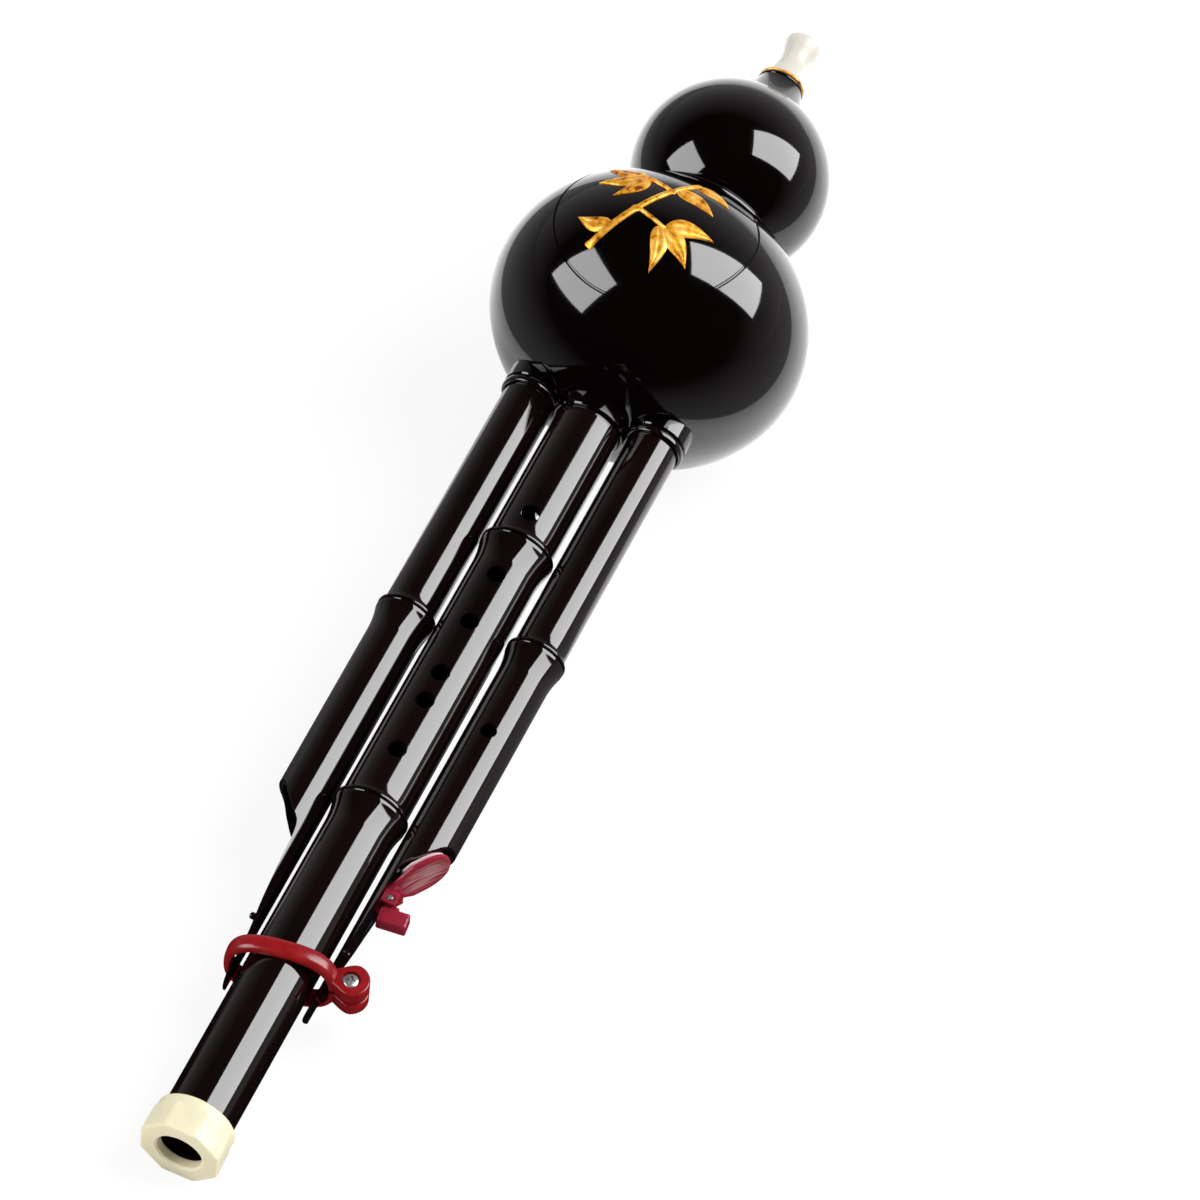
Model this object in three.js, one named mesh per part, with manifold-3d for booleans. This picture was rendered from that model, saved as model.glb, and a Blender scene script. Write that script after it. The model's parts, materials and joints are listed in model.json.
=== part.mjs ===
// A hulusi, the free-reed gourd flute: a two-bulb gourd with a mouthpiece, a fingered main pipe,
// and a drone pipe on each side. Millimetres. In the inner group +Y runs from the end cap to the
// mouthpiece, +Z is the side with the finger holes and +X the side with the drone key. Stations
// are measured along +Y from the end cap's face. The outer group lays the flute on its back.
import * as THREE from 'three';
import { mergeVertices } from 'three/addons/utils/BufferGeometryUtils.js';
import Module from 'manifold-3d';

const wasm = await Module();
wasm.setup();

// Fits and roundness
const clearance = 0.3;
const overrun = 3;
const bulbSides = 34;
const bulbRings = 9;
const pipeSides = 24;
const smallSides = 16;
const curveSteps = 6;
const leafCurveSteps = 5;

// Gourd
const lowerBulbRadius = 46;
const lowerBulbHalfHeight = 39;
const lowerBulbStation = 306.4;
const upperBulbRadius = 28.7;
const upperBulbHalfHeight = 28.1;
const gourdWall = 2.4;
const lowerRimShare = 0.887;
const upperRimShare = 0.666;
const waistBandHeight = 2.2;
const waistBandProud = 0.7;
const waistSpigotLength = 7;
const waistSpigotWall = 1.6;
const waistRimWall = 2.3;

// Engraved ring and gilded sprig on the lower bulb
const engravedRingRadius = 28.6;
const engravedRingWidth = 0.9;
const engravedRingDepth = 0.7;
const engravedRingTilt = THREE.MathUtils.degToRad(8.8);
const engravedRingTurn = THREE.MathUtils.degToRad(-4.4);
const sprigReach = 19;
const sprigThickness = 0.45;

// Neck and mouthpiece
const ferruleLength = 9.4;
const ferruleFootRadius = 10;
const ferruleTopRadius = 7.1;
const ferruleSpigotLength = 6;
const neckHoleRadius = 6.6;
const rimHeight = 0.8;
const rimProud = 0.2;
const mouthpieceLength = 16.2;
const mouthpieceBaseRadius = 6.2;
const mouthpieceWaistRadius = 4.1;
const mouthpieceTipRadius = 5.1;
const mouthpieceBoreRadius = 2.3;
const waistShare = 0.46;
const tenonRadius = 4;
const tenonLength = 13;

// Main pipe
const mainFootRadius = 9.85;
const mainHeadRadius = 9.6;
const mainBoreRadius = 6.6;
const mainNodeStations = [120.8, 216.5];
const fingerHoleStations = [136.8, 154.8, 164.9, 183.9, 201.5, 224.4];
const fingerHoleRadius = 2.7;
const thumbHoleStation = 236;
const ventStations = [40, 52];
const ventRadius = 2.2;

// Drone pipes
const droneRadius = 7.55;
const droneBoreRadius = 6.05;
const droneSpacing = 18.9;
const droneDepth = 1.2;
const leftNodeStation = 184.6;
const rightNodeStation = 187.5;
const droneHoleStation = 155.5;
const droneHoleRadius = 2.35;
const tailTipStation = 53;
const tailEdgeShare = 0.85;
const quillCutStation = 119.6;

// Bamboo nodes, one form for all the pipes: swelling, groove and a sharp ring
const nodeProud = 1.25;
const swellShares = [[0, 0], [0.4, 0.09], [0.75, 0.37], [0.93, 0.74], [1, 0.92]];
const nodeGrooveShare = 0.33;
const nodeFootShare = 0.25;
const nodeRingHeight = 0.7;
const nodeGrooveHeight = 0.8;
const nodeSwellLength = 9;

// Sleeves that hold the pipes in the gourd
const sleeveWall = 0.9;
const mainSleeveStation = 264.2;
const droneSleeveStation = 268.8;
const sleeveInnerReach = 12;
const droneRingHeight = 2.2;

// Pipe heads and reeds inside the gourd
const headStation = 302;
const plugLength = 3;
const plugHeadHeight = 1.2;
const reedLength = 17;
const reedWidth = 6;
const reedThickness = 0.5;
const tongueLength = 12;
const tongueWidth = 2.6;
const tongueSlit = 0.3;
const reedSeatFall = 1.5;
const reedSetback = 3;

// End cap
const capLength = 11.7;
const capEndRadius = 12.2;
const capNeckRadius = 11.9;
const capLipRadius = 11.3;
const capLipHeight = 2.6;
const capSocketDepth = 8.7;
const capSides = 8;

// Clamp round the main pipe and both tails, sitting a little askew: its ears are nearer the gourd
const clampStation = 64.1;
const clampTilt = THREE.MathUtils.degToRad(8.7);
const clampWidth = 5.4;
const clampWall = 2;
const clampSideRoom = 1.45;
const clampCrownShare = 0.58;
const clampFlankShare = 0.85;
const earRadius = 5.2;
const earRootShare = 0.5;
const earThickness = 4.2;
const earGap = 1.2;
const earBack = 0.1;
const screwOffset = 19.2;
const screwHeadRadius = 2.3;
const screwHeadHeight = 1.3;
const screwShankRadius = 1.2;
const screwRecess = 1.7;
const nutRadius = 2.6;
const nutHeight = 1.8;
const crossWidthShare = 0.25;
const crossLengthShare = 1.3;

// Drone key on the right tail
const pivotOffset = 17;
const pivotStation = 96.5;
const hubRadius = 1.9;
const hubLength = 5.2;
const pinRadius = 0.8;
const cheekThickness = 1.2;
const cheekReach = 2.1;
const cheekBelow = 2;
const cheekAbove = 2.1;
const footAbove = 0.9;
const leafAngle = THREE.MathUtils.degToRad(57);
const leafLength = 21.5;
const leafWidth = 14.8;
const leafThickness = 1.8;
const leafLift = 3.6;
const leafDish = 0.8;
const hollowStartShare = 0.24;
const hollowLengthShare = 0.66;
const hollowWidthShare = 0.72;
const armLengthShare = 0.2;
const padThickness = 1.3;
const padStartShare = 0.34;
const touchLength = 8.4;
const touchWidth = 4.8;
const touchDepth = 4.2;
const touchAngle = THREE.MathUtils.degToRad(14);
const touchOffset = 2.9;
const touchDrop = 4.4;
const touchLift = 0.5;
const webLength = 3;
const webInset = 1.4;

// Studs that stand in the tails' troughs above the clamp
const studRadius = 1;
const studHeight = 2.2;
const studDomeShare = 0.75;
const studStation = 75.5;
const studLift = 2.7;

// Worked-out places
const lowerRimStation = lowerBulbStation + lowerBulbHalfHeight * lowerRimShare;
const waistStation = lowerRimStation + clearance + waistBandHeight / 2;
const upperRimStation = waistStation + waistBandHeight / 2 + clearance;
const upperBulbStation = upperRimStation + upperBulbHalfHeight * upperRimShare;
const lowerRimRadius = lowerBulbRadius * Math.sqrt(1 - lowerRimShare ** 2);
const upperRimRadius = upperBulbRadius * Math.sqrt(1 - upperRimShare ** 2);
const waistHoleRadius = Math.min(lowerRimRadius, upperRimRadius) - waistRimWall;
const waistBandRadius = Math.max(lowerRimRadius, upperRimRadius) + waistBandProud;
const lowerPoleStation = lowerBulbStation - lowerBulbHalfHeight;
const crownShare = (radius) => Math.sqrt(1 - (radius / upperBulbRadius) ** 2);
const crownAt = (radius) => upperBulbStation + upperBulbHalfHeight * crownShare(radius);
const ferruleStation = crownAt(ferruleFootRadius) + 2 * clearance;
const rimStation = ferruleStation + ferruleLength + clearance;
const mouthpieceStation = rimStation + rimHeight + clearance;
const mainStart = capLength - capSocketDepth + clearance;
const tailEdge = droneSpacing - droneRadius * tailEdgeShare;
const tailHalfWidth = droneRadius * Math.sqrt(1 - tailEdgeShare ** 2);

// Colours and surfaces
function finish(color, roughness, metalness = 0) {
  return new THREE.MeshStandardMaterial({ color, roughness, metalness });
}
const blackGloss = () => finish('#140a0c', 0.12);
const creamPlastic = () => finish('#ece6c4', 0.35);
const milkPlastic = () => finish('#efeae0', 0.3);
const brass = () => finish('#c9a24a', 0.35, 0.9);
const steel = () => finish('#c8c8c6', 0.3, 0.9);
const redPlastic = () => finish('#96191c', 0.25);
const crimsonPlastic = () => finish('#b21e3c', 0.3);
const gilding = () => finish('#e0a030', 0.4, 0.6);

// Closed shapes to solids and back
function solid(geometry) {
  const bare = geometry.clone();
  bare.deleteAttribute('normal');
  bare.deleteAttribute('uv');
  const merged = mergeVertices(bare, clearance / 1000);
  const points = merged.getAttribute('position');
  const corners = Array.from(merged.index.array);
  const faces = [];
  let volume = 0;
  const a = new THREE.Vector3();
  const b = new THREE.Vector3();
  const c = new THREE.Vector3();
  for (let i = 0; i < corners.length; i += 3) {
    const [p, q, r] = corners.slice(i, i + 3);
    if (p === q || q === r || r === p) continue;
    a.fromBufferAttribute(points, p);
    b.fromBufferAttribute(points, q);
    c.fromBufferAttribute(points, r);
    volume += a.dot(b.cross(c));
    faces.push(p, q, r);
  }
  if (volume < 0) faces.reverse();
  return new wasm.Manifold(new wasm.Mesh({
    numProp: 3,
    vertProperties: new Float32Array(points.array),
    triVerts: new Uint32Array(faces),
  }));
}

function shapeOf(body) {
  const { vertProperties, triVerts } = body.getMesh();
  const geometry = new THREE.BufferGeometry();
  geometry.setAttribute('position', new THREE.BufferAttribute(vertProperties, 3));
  geometry.setIndex(new THREE.BufferAttribute(triVerts, 1));
  geometry.computeVertexNormals();
  return geometry;
}

// A turned piece: the profile lists [radius, station], and a face of it points straight back
function turned(profile, sides = pipeSides) {
  const outline = profile.map(([radius, station]) => new THREE.Vector2(radius, station));
  return solid(new THREE.LatheGeometry(outline, sides, Math.PI / sides));
}

function rod(radius, start, end, sides = pipeSides) {
  return turned([[0, start], [radius, start], [radius, end], [0, end]], sides);
}

function sleeve(outer, inner, start, end, sides = pipeSides) {
  return turned([[inner, start], [outer, start], [outer, end], [inner, end], [inner, start]], sides);
}

function moved(geometry, x, y, z) {
  return geometry.translate(x, y, z);
}

function block(width, length, height, x, y, z) {
  return solid(moved(new THREE.BoxGeometry(width, length, height), x, y, z));
}

// A round rod along Z, for what goes in from the front
function frontRod(radius, x, station, from, to, sides = smallSides) {
  const shape = new THREE.CylinderGeometry(radius, radius, to - from, sides);
  return solid(moved(shape.rotateX(Math.PI / 2), x, station, (from + to) / 2));
}

// A flat outline in X and Y, thickened along Z
function plate(outline, thickness, curveSegments = 8) {
  return solid(new THREE.ExtrudeGeometry(outline, { depth: thickness, bevelEnabled: false, curveSegments }));
}

function named(name, body, material) {
  const mesh = new THREE.Mesh(shapeOf(body), material);
  mesh.name = name;
  return mesh;
}

// Spheroid arc from one pole angle to another, as profile points
function bulbArc(radius, halfHeight, station, fromAngle, toAngle, steps) {
  return Array.from({ length: steps + 1 }, (_, i) => {
    const angle = fromAngle + (toAngle - fromAngle) * i / steps;
    const across = Math.abs(angle) === Math.PI / 2 ? 0 : radius * Math.cos(angle);
    return [across, station + halfHeight * Math.sin(angle)];
  });
}

function bulbAngle(halfHeight, rise) {
  return Math.asin(rise / halfHeight);
}

function spheroid(grow) {
  return turned(bulbArc(lowerBulbRadius + grow, lowerBulbHalfHeight + grow, lowerBulbStation,
    -Math.PI / 2, Math.PI / 2, 2 * bulbRings), bulbSides);
}

// Pipe outline with a bamboo node at each station: swelling, groove and a sharp ring above it
function pipeOutline(start, end, radiusAt, nodes) {
  const points = [[radiusAt(start), start]];
  for (const station of nodes) {
    const radius = radiusAt(station);
    const grooveTop = station - nodeRingHeight / 2;
    const swellTop = grooveTop - nodeGrooveHeight;
    for (const [along, out] of swellShares) {
      points.push([radius + nodeProud * out, swellTop - nodeSwellLength * (1 - along)]);
    }
    points.push([radius + nodeProud * nodeGrooveShare, grooveTop - nodeGrooveHeight / 2]);
    points.push([radius + nodeProud, grooveTop + nodeRingHeight / 4]);
    points.push([radius + nodeProud, grooveTop + nodeRingHeight]);
    points.push([radius + nodeProud * nodeFootShare, station + nodeRingHeight + nodeGrooveHeight / 2]);
    points.push([radius, station + nodeRingHeight + nodeGrooveHeight * 2]);
  }
  points.push([radiusAt(end), end]);
  return points;
}

function pipeBody(start, end, radiusAt, bore, nodes) {
  const outer = pipeOutline(start, end, radiusAt, nodes);
  return turned([...outer, [bore, end], [bore, start], outer[0]]);
}

// Flat with a window on a pipe's head, where the reed plate lies
function seatReed(pipe, radius, bore) {
  const seat = radius - reedSeatFall;
  const middle = headStation - reedSetback - reedLength / 2;
  const flat = block(radius * 2, reedLength + 2 * clearance, radius, 0, middle, seat + radius / 2);
  const window = block(tongueWidth + 2 * tongueSlit, tongueLength, radius, 0, middle, bore);
  return pipe.subtract(flat).subtract(window);
}

function mainRadiusAt(station) {
  const share = (station - mainStart) / (headStation - mainStart);
  return mainFootRadius + (mainHeadRadius - mainFootRadius) * share;
}

function makeMainPipe() {
  let pipe = pipeBody(mainStart, headStation, mainRadiusAt, mainBoreRadius, mainNodeStations);
  for (const station of fingerHoleStations) {
    pipe = pipe.subtract(frontRod(fingerHoleRadius, 0, station, 0, mainFootRadius + overrun));
  }
  const back = -mainFootRadius - overrun;
  pipe = pipe.subtract(frontRod(fingerHoleRadius, 0, thumbHoleStation, back, 0));
  for (const station of ventStations) {
    pipe = pipe.subtract(frontRod(ventRadius, 0, station, back, 0));
  }
  return seatReed(pipe, mainHeadRadius, mainBoreRadius);
}

// What the quill cut takes off a drone, in X (outward) and Y, from above the strip to the tip
const quillCutShares = [[1.5, 0], [0.52, -0.02], [0.05, -0.09], [-0.25, -0.19], [-0.42, -0.33],
  [-0.62, -0.55], [-tailEdgeShare, -0.78], [-0.88, -1]];
const tipEdgeShare = 0.89;
const tipBendShare = 0.75;

function quillCut(side) {
  const reach = quillCutStation - tailTipStation;
  const edge = new THREE.SplineCurve(quillCutShares.map(([out, down]) => new THREE.Vector2(
    side * droneRadius * out, quillCutStation + reach * down)));
  const outline = new THREE.Shape(edge.getPoints(3 * curveSteps));
  outline.lineTo(-side * droneRadius * tipEdgeShare, tailTipStation - overrun);
  outline.lineTo(side * droneRadius * 2, tailTipStation - overrun);
  outline.lineTo(side * droneRadius * 2, quillCutStation);
  const tool = new THREE.ExtrudeGeometry(outline, { depth: 4 * droneRadius, bevelEnabled: false });
  return solid(moved(tool, 0, 0, -2 * droneRadius));
}

// The tail's tip is rounded off, seen from the side of the flute
function tailTip(side) {
  const round = new THREE.Shape();
  const edge = tailHalfWidth + clearance;
  const bend = tailHalfWidth * tipBendShare;
  const roundTop = tailTipStation + tailHalfWidth;
  round.moveTo(-2 * droneRadius, tailTipStation - overrun);
  round.lineTo(2 * droneRadius, tailTipStation - overrun);
  round.lineTo(2 * droneRadius, roundTop);
  round.lineTo(edge, roundTop);
  round.quadraticCurveTo(bend, tailTipStation, 0, tailTipStation);
  round.quadraticCurveTo(-bend, tailTipStation, -edge, roundTop);
  round.lineTo(-2 * droneRadius, roundTop);
  round.closePath();
  const tool = new THREE.ExtrudeGeometry(round,
    { depth: 4 * droneRadius, bevelEnabled: false, curveSegments: curveSteps });
  return solid(tool.rotateY(Math.PI / 2).translate(side < 0 ? -3 * droneRadius : -droneRadius, 0, 0));
}

function makeDrone(side, nodeStation) {
  const radiusAt = () => droneRadius;
  let pipe = pipeBody(tailTipStation, headStation, radiusAt, droneBoreRadius, [nodeStation]);
  pipe = pipe.subtract(quillCut(side)).subtract(tailTip(side));
  if (side > 0) {
    pipe = pipe.subtract(frontRod(droneHoleRadius, 0, droneHoleStation, 0, droneRadius + overrun));
  }
  return seatReed(pipe, droneRadius, droneBoreRadius);
}

// Head plug: a stopper with a rim, closing a pipe's upper end
function makePlug(radius, bore) {
  const start = headStation - plugLength;
  const rim = headStation + clearance;
  return turned([[0, start], [bore - clearance, start], [bore - clearance, rim], [radius, rim],
    [radius, rim + plugHeadHeight], [0, rim + plugHeadHeight]], smallSides);
}

// Reed: a brass plate whose tongue is freed by a slit on three sides
function makeReed(radius) {
  const outline = new THREE.Shape();
  outline.moveTo(-reedWidth / 2, 0);
  outline.lineTo(reedWidth / 2, 0);
  outline.lineTo(reedWidth / 2, reedLength);
  outline.lineTo(-reedWidth / 2, reedLength);
  outline.closePath();
  const root = (reedLength - tongueLength) / 2;
  const inner = tongueWidth / 2;
  const outer = inner + tongueSlit;
  const slit = new THREE.Path();
  slit.moveTo(-outer, root);
  slit.lineTo(-outer, root + tongueLength);
  slit.lineTo(outer, root + tongueLength);
  slit.lineTo(outer, root);
  slit.lineTo(inner, root);
  slit.lineTo(inner, root + tongueLength - tongueSlit);
  slit.lineTo(-inner, root + tongueLength - tongueSlit);
  slit.lineTo(-inner, root);
  slit.closePath();
  outline.holes.push(slit);
  const shape = new THREE.ExtrudeGeometry(outline, { depth: reedThickness, bevelEnabled: false });
  return solid(moved(shape, 0, headStation - reedSetback - reedLength, radius - reedSeatFall + clearance));
}

// Lower bulb: a shell with the engraved ring, its neck bore and three sleeves for the pipes
function makeLowerBulb() {
  const top = bulbAngle(lowerBulbHalfHeight, lowerRimStation - lowerBulbStation);
  const inside = lowerBulbHalfHeight - gourdWall;
  const topInside = bulbAngle(inside, lowerRimStation - lowerBulbStation);
  const outer = bulbArc(lowerBulbRadius, lowerBulbHalfHeight, lowerBulbStation,
    -Math.PI / 2, top, 2 * bulbRings);
  const inner = bulbArc(lowerBulbRadius - gourdWall, inside, lowerBulbStation,
    topInside, -Math.PI / 2, bulbRings);
  let shell = turned([...outer, ...inner], bulbSides);
  shell = shell.subtract(rod(waistHoleRadius, lowerRimStation - waistSpigotLength - overrun,
    lowerRimStation + overrun, bulbSides));
  const innerEnd = lowerPoleStation + sleeveInnerReach;
  shell = shell.add(rod(mainHeadRadius + clearance + sleeveWall, mainSleeveStation, innerEnd));
  for (const side of [-1, 1]) {
    const cylinder = rod(droneRadius + clearance + sleeveWall, droneSleeveStation, innerEnd);
    shell = shell.add(cylinder.translate([side * droneSpacing, 0, -droneDepth]));
  }
  const boreStart = mainSleeveStation - overrun;
  const boreEnd = innerEnd + overrun;
  shell = shell.subtract(rod(mainRadiusAt(mainSleeveStation) + clearance, boreStart, boreEnd));
  for (const side of [-1, 1]) {
    const bore = rod(droneRadius + clearance, boreStart, boreEnd);
    shell = shell.subtract(bore.translate([side * droneSpacing, 0, -droneDepth]));
  }
  return shell.subtract(engravedRing());
}

// Turns a tool that points to the front so that it points at the middle of the engraved ring
function aimed(body) {
  return body
    .rotate([-THREE.MathUtils.radToDeg(engravedRingTilt), 0, 0])
    .rotate([0, THREE.MathUtils.radToDeg(engravedRingTurn), 0])
    .translate([0, lowerBulbStation, 0]);
}

function engravedRing() {
  const inner = engravedRingRadius - engravedRingWidth / 2;
  const outer = engravedRingRadius + engravedRingWidth / 2;
  const tube = new THREE.LatheGeometry([
    new THREE.Vector2(inner, 0), new THREE.Vector2(outer, 0),
    new THREE.Vector2(outer, lowerBulbRadius + overrun), new THREE.Vector2(inner, lowerBulbRadius + overrun),
    new THREE.Vector2(inner, 0),
  ], bulbSides);
  return aimed(solid(tube.rotateX(Math.PI / 2))).subtract(spheroid(-engravedRingDepth));
}

// Gilded bamboo sprig inside the ring: stems as tapered strips, leaves as pointed blades
const stemShares = [
  [[-0.62, -0.85], [-0.19, -0.11], 0.055],
  [[-0.2, -0.14], [0.11, 0.44], 0.048],
  [[0.1, 0.41], [0.36, 0.92], 0.04],
  [[-0.19, -0.12], [0.32, -0.31], 0.03], [[0.1, 0.43], [-0.37, 0.62], 0.03],
];
const leafShares = [
  [[0.3, -0.3], [0.98, -0.1], 0.15], [[0.28, -0.32], [0.8, -0.68], 0.15], [[0.22, -0.3], [0.36, -0.95], 0.13],
  [[-0.35, 0.62], [-0.98, 0.78], 0.13],
  [[-0.36, 0.6], [-0.95, 0.3], 0.15],
  [[-0.3, 0.58], [-0.62, 0.02], 0.13],
  [[0.16, 0.5], [0.78, 0.32], 0.14],
  [[0.34, 0.86], [0.86, 0.72], 0.11],
  [[-0.42, -0.5], [-0.95, -0.42], 0.12],
];

const leafBellyShare = 0.35;
const leafBackShare = 2;
const leafFrontShare = 1.2;
const stemTaperShare = 0.8;

function strip(from, to, halfWidth, leafy) {
  const start = new THREE.Vector2(...from).multiplyScalar(sprigReach);
  const end = new THREE.Vector2(...to).multiplyScalar(sprigReach);
  const along = end.clone().sub(start);
  const across = new THREE.Vector2(-along.y, along.x).normalize().multiplyScalar(halfWidth * sprigReach);
  const outline = new THREE.Shape();
  if (leafy) {
    const belly = start.clone().addScaledVector(along, leafBellyShare);
    const back = belly.clone().addScaledVector(across, leafBackShare);
    const face = belly.clone().addScaledVector(across, -leafFrontShare);
    outline.moveTo(start.x, start.y);
    outline.quadraticCurveTo(back.x, back.y, end.x, end.y);
    outline.quadraticCurveTo(face.x, face.y, start.x, start.y);
  } else {
    outline.moveTo(start.x + across.x, start.y + across.y);
    outline.lineTo(start.x - across.x, start.y - across.y);
    outline.lineTo(end.x - across.x * stemTaperShare, end.y - across.y * stemTaperShare);
    outline.lineTo(end.x + across.x * stemTaperShare, end.y + across.y * stemTaperShare);
    outline.closePath();
  }
  return plate(outline, lowerBulbRadius + overrun, leafCurveSteps);
}

function makeSprig() {
  const pieces = [
    ...stemShares.map(([from, to, halfWidth]) => strip(from, to, halfWidth, false)),
    ...leafShares.map(([from, to, halfWidth]) => strip(from, to, halfWidth, true)),
  ];
  const flat = pieces.reduce((all, piece) => all.add(piece));
  const skin = spheroid(clearance + sprigThickness).subtract(spheroid(clearance));
  return aimed(flat).intersect(skin);
}

// Upper bulb: a shell open at the waist and at the neck
function makeUpperBulb() {
  const bottom = bulbAngle(upperBulbHalfHeight, upperRimStation - upperBulbStation);
  const inside = upperBulbHalfHeight - gourdWall;
  const bottomInside = bulbAngle(inside, upperRimStation - upperBulbStation);
  const outer = bulbArc(upperBulbRadius, upperBulbHalfHeight, upperBulbStation,
    bottom, Math.PI / 2, 2 * bulbRings);
  const inner = bulbArc(upperBulbRadius - gourdWall, inside, upperBulbStation,
    Math.PI / 2, bottomInside, bulbRings);
  let shell = turned([...outer, ...inner, outer[0]], bulbSides);
  shell = shell.subtract(rod(waistHoleRadius, upperRimStation - overrun,
    upperRimStation + waistSpigotLength + overrun, bulbSides));
  const top = upperBulbStation + upperBulbHalfHeight;
  return shell.subtract(rod(neckHoleRadius, top - 3 * overrun, top + overrun, smallSides));
}

// Waist ring: a thin band between the bulbs, with a spigot into the neck of each
function makeWaistRing() {
  const spigot = waistHoleRadius - clearance;
  const half = waistBandHeight / 2;
  const low = waistStation - half;
  const high = waistStation + half;
  return turned([
    [spigot - waistSpigotWall, low - waistSpigotLength], [spigot, low - waistSpigotLength], [spigot, low],
    [waistBandRadius - half / 2, low], [waistBandRadius, low + half / 2], [waistBandRadius, high - half / 2],
    [waistBandRadius - half / 2, high], [spigot, high], [spigot, high + waistSpigotLength],
    [spigot - waistSpigotWall, high + waistSpigotLength], [spigot - waistSpigotWall, low - waistSpigotLength],
  ], bulbSides);
}

// Neck ferrule: a concave black cone whose spigot goes into the upper bulb
function makeFerrule() {
  const bore = tenonRadius + clearance;
  const spigot = neckHoleRadius - clearance;
  const flareShares = [[1, 0], [0.62, 0.16], [0.33, 0.36], [0.12, 0.62], [0, 0.88], [0.06, 1]];
  const spread = ferruleFootRadius - ferruleTopRadius;
  const start = ferruleStation - ferruleSpigotLength;
  return turned([
    [bore, start], [spigot, start], [spigot, crownAt(neckHoleRadius) + clearance],
    ...flareShares.map(([out, along]) => [
      ferruleTopRadius + spread * out, ferruleStation + ferruleLength * along]),
    [bore, ferruleStation + ferruleLength], [bore, start],
  ], pipeSides);
}

function makeNeckRim() {
  return sleeve(ferruleTopRadius + rimProud, tenonRadius + clearance, rimStation, rimStation + rimHeight);
}

// Mouthpiece: a waisted tube with a rounded lip, and a tenon down into the ferrule
function makeMouthpiece() {
  const start = mouthpieceStation - tenonLength;
  const outlineShares = [[0, 0], [0.12, 0.38], [0.26, 0.74], [0.46, 1], [0.64, 0.78], [0.8, 0.2]];
  const lipShares = [[0.9, 0], [0.96, 0.12], [1, 0.4]];
  const bellyOf = (along) => (along < waistShare ? mouthpieceBaseRadius : mouthpieceTipRadius);
  const body = outlineShares.map(([along, pinch]) => [
    bellyOf(along) + (mouthpieceWaistRadius - bellyOf(along)) * pinch,
    mouthpieceStation + mouthpieceLength * along]);
  const lip = lipShares.map(([along, round]) => [
    mouthpieceTipRadius + (mouthpieceBoreRadius - mouthpieceTipRadius) * round,
    mouthpieceStation + mouthpieceLength * along]);
  return turned([
    [mouthpieceBoreRadius, start], [tenonRadius, start], [tenonRadius, mouthpieceStation],
    ...body, ...lip, [mouthpieceBoreRadius, mouthpieceStation + mouthpieceLength],
    [mouthpieceBoreRadius, start],
  ], pipeSides);
}

// End cap: eight flats flaring to the end, a round lip, a socket for the pipe and a bore
function makeEndCap() {
  const lipStart = capLength - capLipHeight;
  const flats = turned([[0, 0], [capEndRadius, 0], [capNeckRadius, lipStart], [0, lipStart]], capSides);
  const round = capLipHeight / 4;
  const lip = turned([[0, 0], [capLipRadius - round, lipStart / 2], [capLipRadius, lipStart],
    [capLipRadius, capLength - round], [capLipRadius - round, capLength], [0, capLength]]);
  const socket = rod(mainFootRadius + clearance, capLength - capSocketDepth, capLength + overrun);
  return flats.add(lip).subtract(socket).subtract(rod(mainBoreRadius, -overrun, capLength));
}

// Ring that closes each drone's sleeve, relieved where the main pipe's sleeve passes it
function makeDroneRing(side) {
  const inner = droneRadius + clearance;
  const outer = inner + sleeveWall;
  const end = droneSleeveStation - clearance;
  const start = end - droneRingHeight;
  const ring = turned([[inner, start], [outer - sleeveWall / 2, start], [outer, start + sleeveWall / 2],
    [outer, end - sleeveWall / 2], [outer - sleeveWall / 2, end], [inner, end], [inner, start]]);
  const passing = rod(mainHeadRadius + 2 * clearance + sleeveWall, start - overrun, end + overrun);
  return ring.subtract(passing.translate([-side * droneSpacing, 0, droneDepth]));
}

// Clamp: a band over the main pipe and round both tails, ending in two ears on the right. It is made
// level, with its own middle at the origin, and then set askew on the pipes.
function clampOutline(grow) {
  const side = tailEdge + clampSideRoom + grow;
  const crown = mainFootRadius + clearance + grow;
  const level = -droneDepth;
  const shoulder = side * clampCrownShare;
  const front = level + (crown - level) * clampFlankShare;
  const back = level - (crown + level) * clampFlankShare;
  const outline = new THREE.Shape();
  outline.moveTo(-side, level);
  outline.bezierCurveTo(-side, front, -shoulder, crown, 0, crown);
  outline.bezierCurveTo(shoulder, crown, side, front, side, level);
  outline.bezierCurveTo(side, back, shoulder, -crown, 0, -crown);
  outline.bezierCurveTo(-shoulder, -crown, -side, back, -side, level);
  outline.closePath();
  return outline;
}

function clampEar(from, to) {
  const ear = frontRod(earRadius, screwOffset, 0, from, to);
  const width = (screwOffset - tailEdge) * earRootShare + earRadius;
  const root = block(width, clampWidth, to - from, screwOffset - width / 2, 0, (from + to) / 2);
  return ear.add(root);
}

function asFitted(body) {
  return body.rotate([0, 0, THREE.MathUtils.radToDeg(clampTilt)]).translate([0, clampStation, 0]);
}

const earMiddle = -earBack;
const frontEarFace = earMiddle + earGap / 2 + earThickness;
const backEarFace = earMiddle - earGap / 2 - earThickness;

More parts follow.
